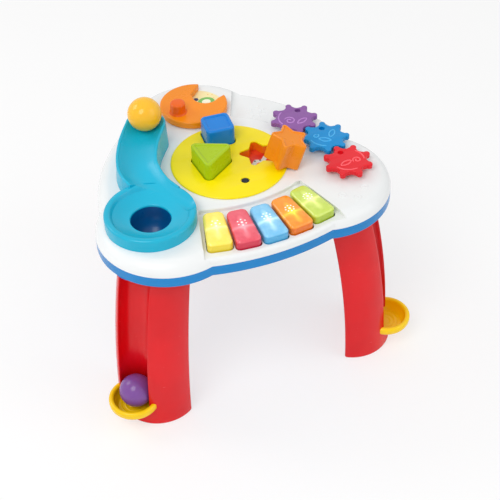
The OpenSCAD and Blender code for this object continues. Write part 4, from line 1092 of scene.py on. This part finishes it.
# The three wells take dark colours that paint shade inside the wells.
FINISHES = {
    "shell_screws": steel, "light_window": lens, "square_well": well_blue, "triangle_well": well_green,
    "star_well": well_orange_painted_shade, "star_floor": star_print(), "picture_plate": printed_plate(),
    "dial_post": grey, "gear_posts": grey, "key_pins": steel, "key_frame": white, "key_board": board,
    "key_screws": steel, "key_lights": lamp, "main_board": board, "speaker": black, "speaker_ring": white,
    "battery_box": white, "batteries": wrap, "battery_contacts": steel, "battery_door": blue,
    "door_screw": steel, "switch_body": black, "switch_knob": black, "leg_screws": steel,
}
FINISHES.update({"key_dome_%d" % k: silicone for k in range(1, 6)})
for node, material in FINISHES.items():
    for entry in nodes[node].material_slots:
        entry.material = material

# ---- Floor, light and camera -------------------------------------------------------


FLOOR_WHITE, FLOOR_HALF = 0.6, 6000.0


def floor_material():
    """White studio floor; to the camera it is mostly plain white, with a soft share of its shadow."""
    p = Paint("studio_floor")
    tone = p.noise(p.place(), 0.002, 2.0)
    p.finish(p.mix(tone, linear(250, 250, 250), linear(253, 253, 253)), 0.7)
    white_light = p.node("ShaderNodeEmission", None, (1, 1, 1, 1), 1.0)
    seen = p.node("ShaderNodeLightPath", out="Is Camera Ray")
    both = p.node("ShaderNodeMixShader", None, seen * FLOOR_WHITE, Value(p, p.shader.outputs[0]),
                  white_light)
    p.put(p.tree.nodes["Material Output"].inputs["Surface"], both)
    return p.material


def studio():
    """Square floor under the table."""
    corners = np.array([(-1, -1, 0), (1, -1, 0), (1, 1, 0), (-1, 1, 0)], float)
    mesh = bpy.data.meshes.new("studio_floor")
    mesh.from_pydata(corners * FLOOR_HALF * MM, [], [[0, 1, 2, 3]])
    mesh.materials.append(floor_material())
    floor = bpy.data.objects.new("studio_floor", mesh)
    bpy.context.scene.collection.objects.link(floor)


def softbox(name, at, aim, size, power):
    """Round area lamp; places and size in metres, power in watts."""
    data = bpy.data.lights.new(name, "AREA")
    data.shape, data.size, data.energy = "DISK", size, power
    lamp_obj = bpy.data.objects.new(name, data)
    lamp_obj.location = at
    lamp_obj.rotation_euler = (Vector(aim) - Vector(at)).to_track_quat("-Z", "Y").to_euler()
    bpy.context.scene.collection.objects.link(lamp_obj)


def world_light(strength, seen):
    """Soft even light; camera, mirror and glass rays see plain white."""
    world = bpy.data.worlds.new("studio")
    bpy.context.scene.world = world
    world.use_nodes = True
    tree = world.node_tree
    back = tree.nodes["Background"]
    back.inputs["Color"].default_value = (1, 1, 1, 1)
    path = tree.nodes.new("ShaderNodeLightPath")
    direct = path.outputs["Is Camera Ray"]
    for kind in ("Is Glossy Ray", "Is Transmission Ray"):
        either = tree.nodes.new("ShaderNodeMath")
        either.operation = "MAXIMUM"
        tree.links.new(direct, either.inputs[0])
        tree.links.new(path.outputs[kind], either.inputs[1])
        direct = either.outputs[0]
    mix = tree.nodes.new("ShaderNodeMapRange")
    mix.inputs["To Min"].default_value = strength
    mix.inputs["To Max"].default_value = seen
    tree.links.new(direct, mix.inputs["Value"])
    tree.links.new(mix.outputs[0], back.inputs["Strength"])


CAMERA_MM, CAMERA_FOCUS = 1791.231, 1204.794  # distance, and focal length in photograph pixels
CAMERA_AZ, CAMERA_EL, CAMERA_ROLL = -21.514, 42.535, -1.95
CAMERA_TARGET = (29.569, -125.699)
FRAME_PX, SENSOR_MM = 500, 36.0


def camera():
    """Camera on the view line of the photograph: distance, azimuth, elevation and a small roll."""
    a, e, roll = (math.radians(v) for v in (CAMERA_AZ, CAMERA_EL, CAMERA_ROLL))
    back = np.array([math.sin(a) * math.cos(e), -math.cos(a) * math.cos(e), math.sin(e)])
    right = np.array([math.cos(a), math.sin(a), 0.0])
    up = np.cross(back, right)
    x = math.cos(roll) * right + math.sin(roll) * up
    y = -math.sin(roll) * right + math.cos(roll) * up
    target = right * CAMERA_TARGET[0] + up * CAMERA_TARGET[1] + [0, SHIFT_Y, DISC_Z]
    data = bpy.data.cameras.new("camera")
    data.sensor_width = SENSOR_MM
    data.lens = CAMERA_FOCUS * SENSOR_MM / FRAME_PX
    data.clip_start, data.clip_end = 0.05, 30.0
    obj = bpy.data.objects.new("camera", data)
    world = np.eye(4)
    world[:3, 0], world[:3, 1], world[:3, 2] = x, y, back
    world[:3, 3] = (target + back * CAMERA_MM) * MM
    obj.matrix_world = Matrix(world.tolist())
    bpy.context.scene.collection.objects.link(obj)
    bpy.context.scene.camera = obj


studio()
world_light(0.62, 1.0)
softbox("key_light", (-1.3, -1.1, 2.3), (0, 0, 0.3), 1.5, 26)
softbox("fill_light", (1.6, -1.4, 1.6), (0, 0, 0.2), 1.8, 10)
softbox("back_light", (-1.7, 1.3, 1.9), (0, 0, 0.3), 1.2, 11)
camera()

view = bpy.context.scene.view_settings
view.view_transform = "Standard"
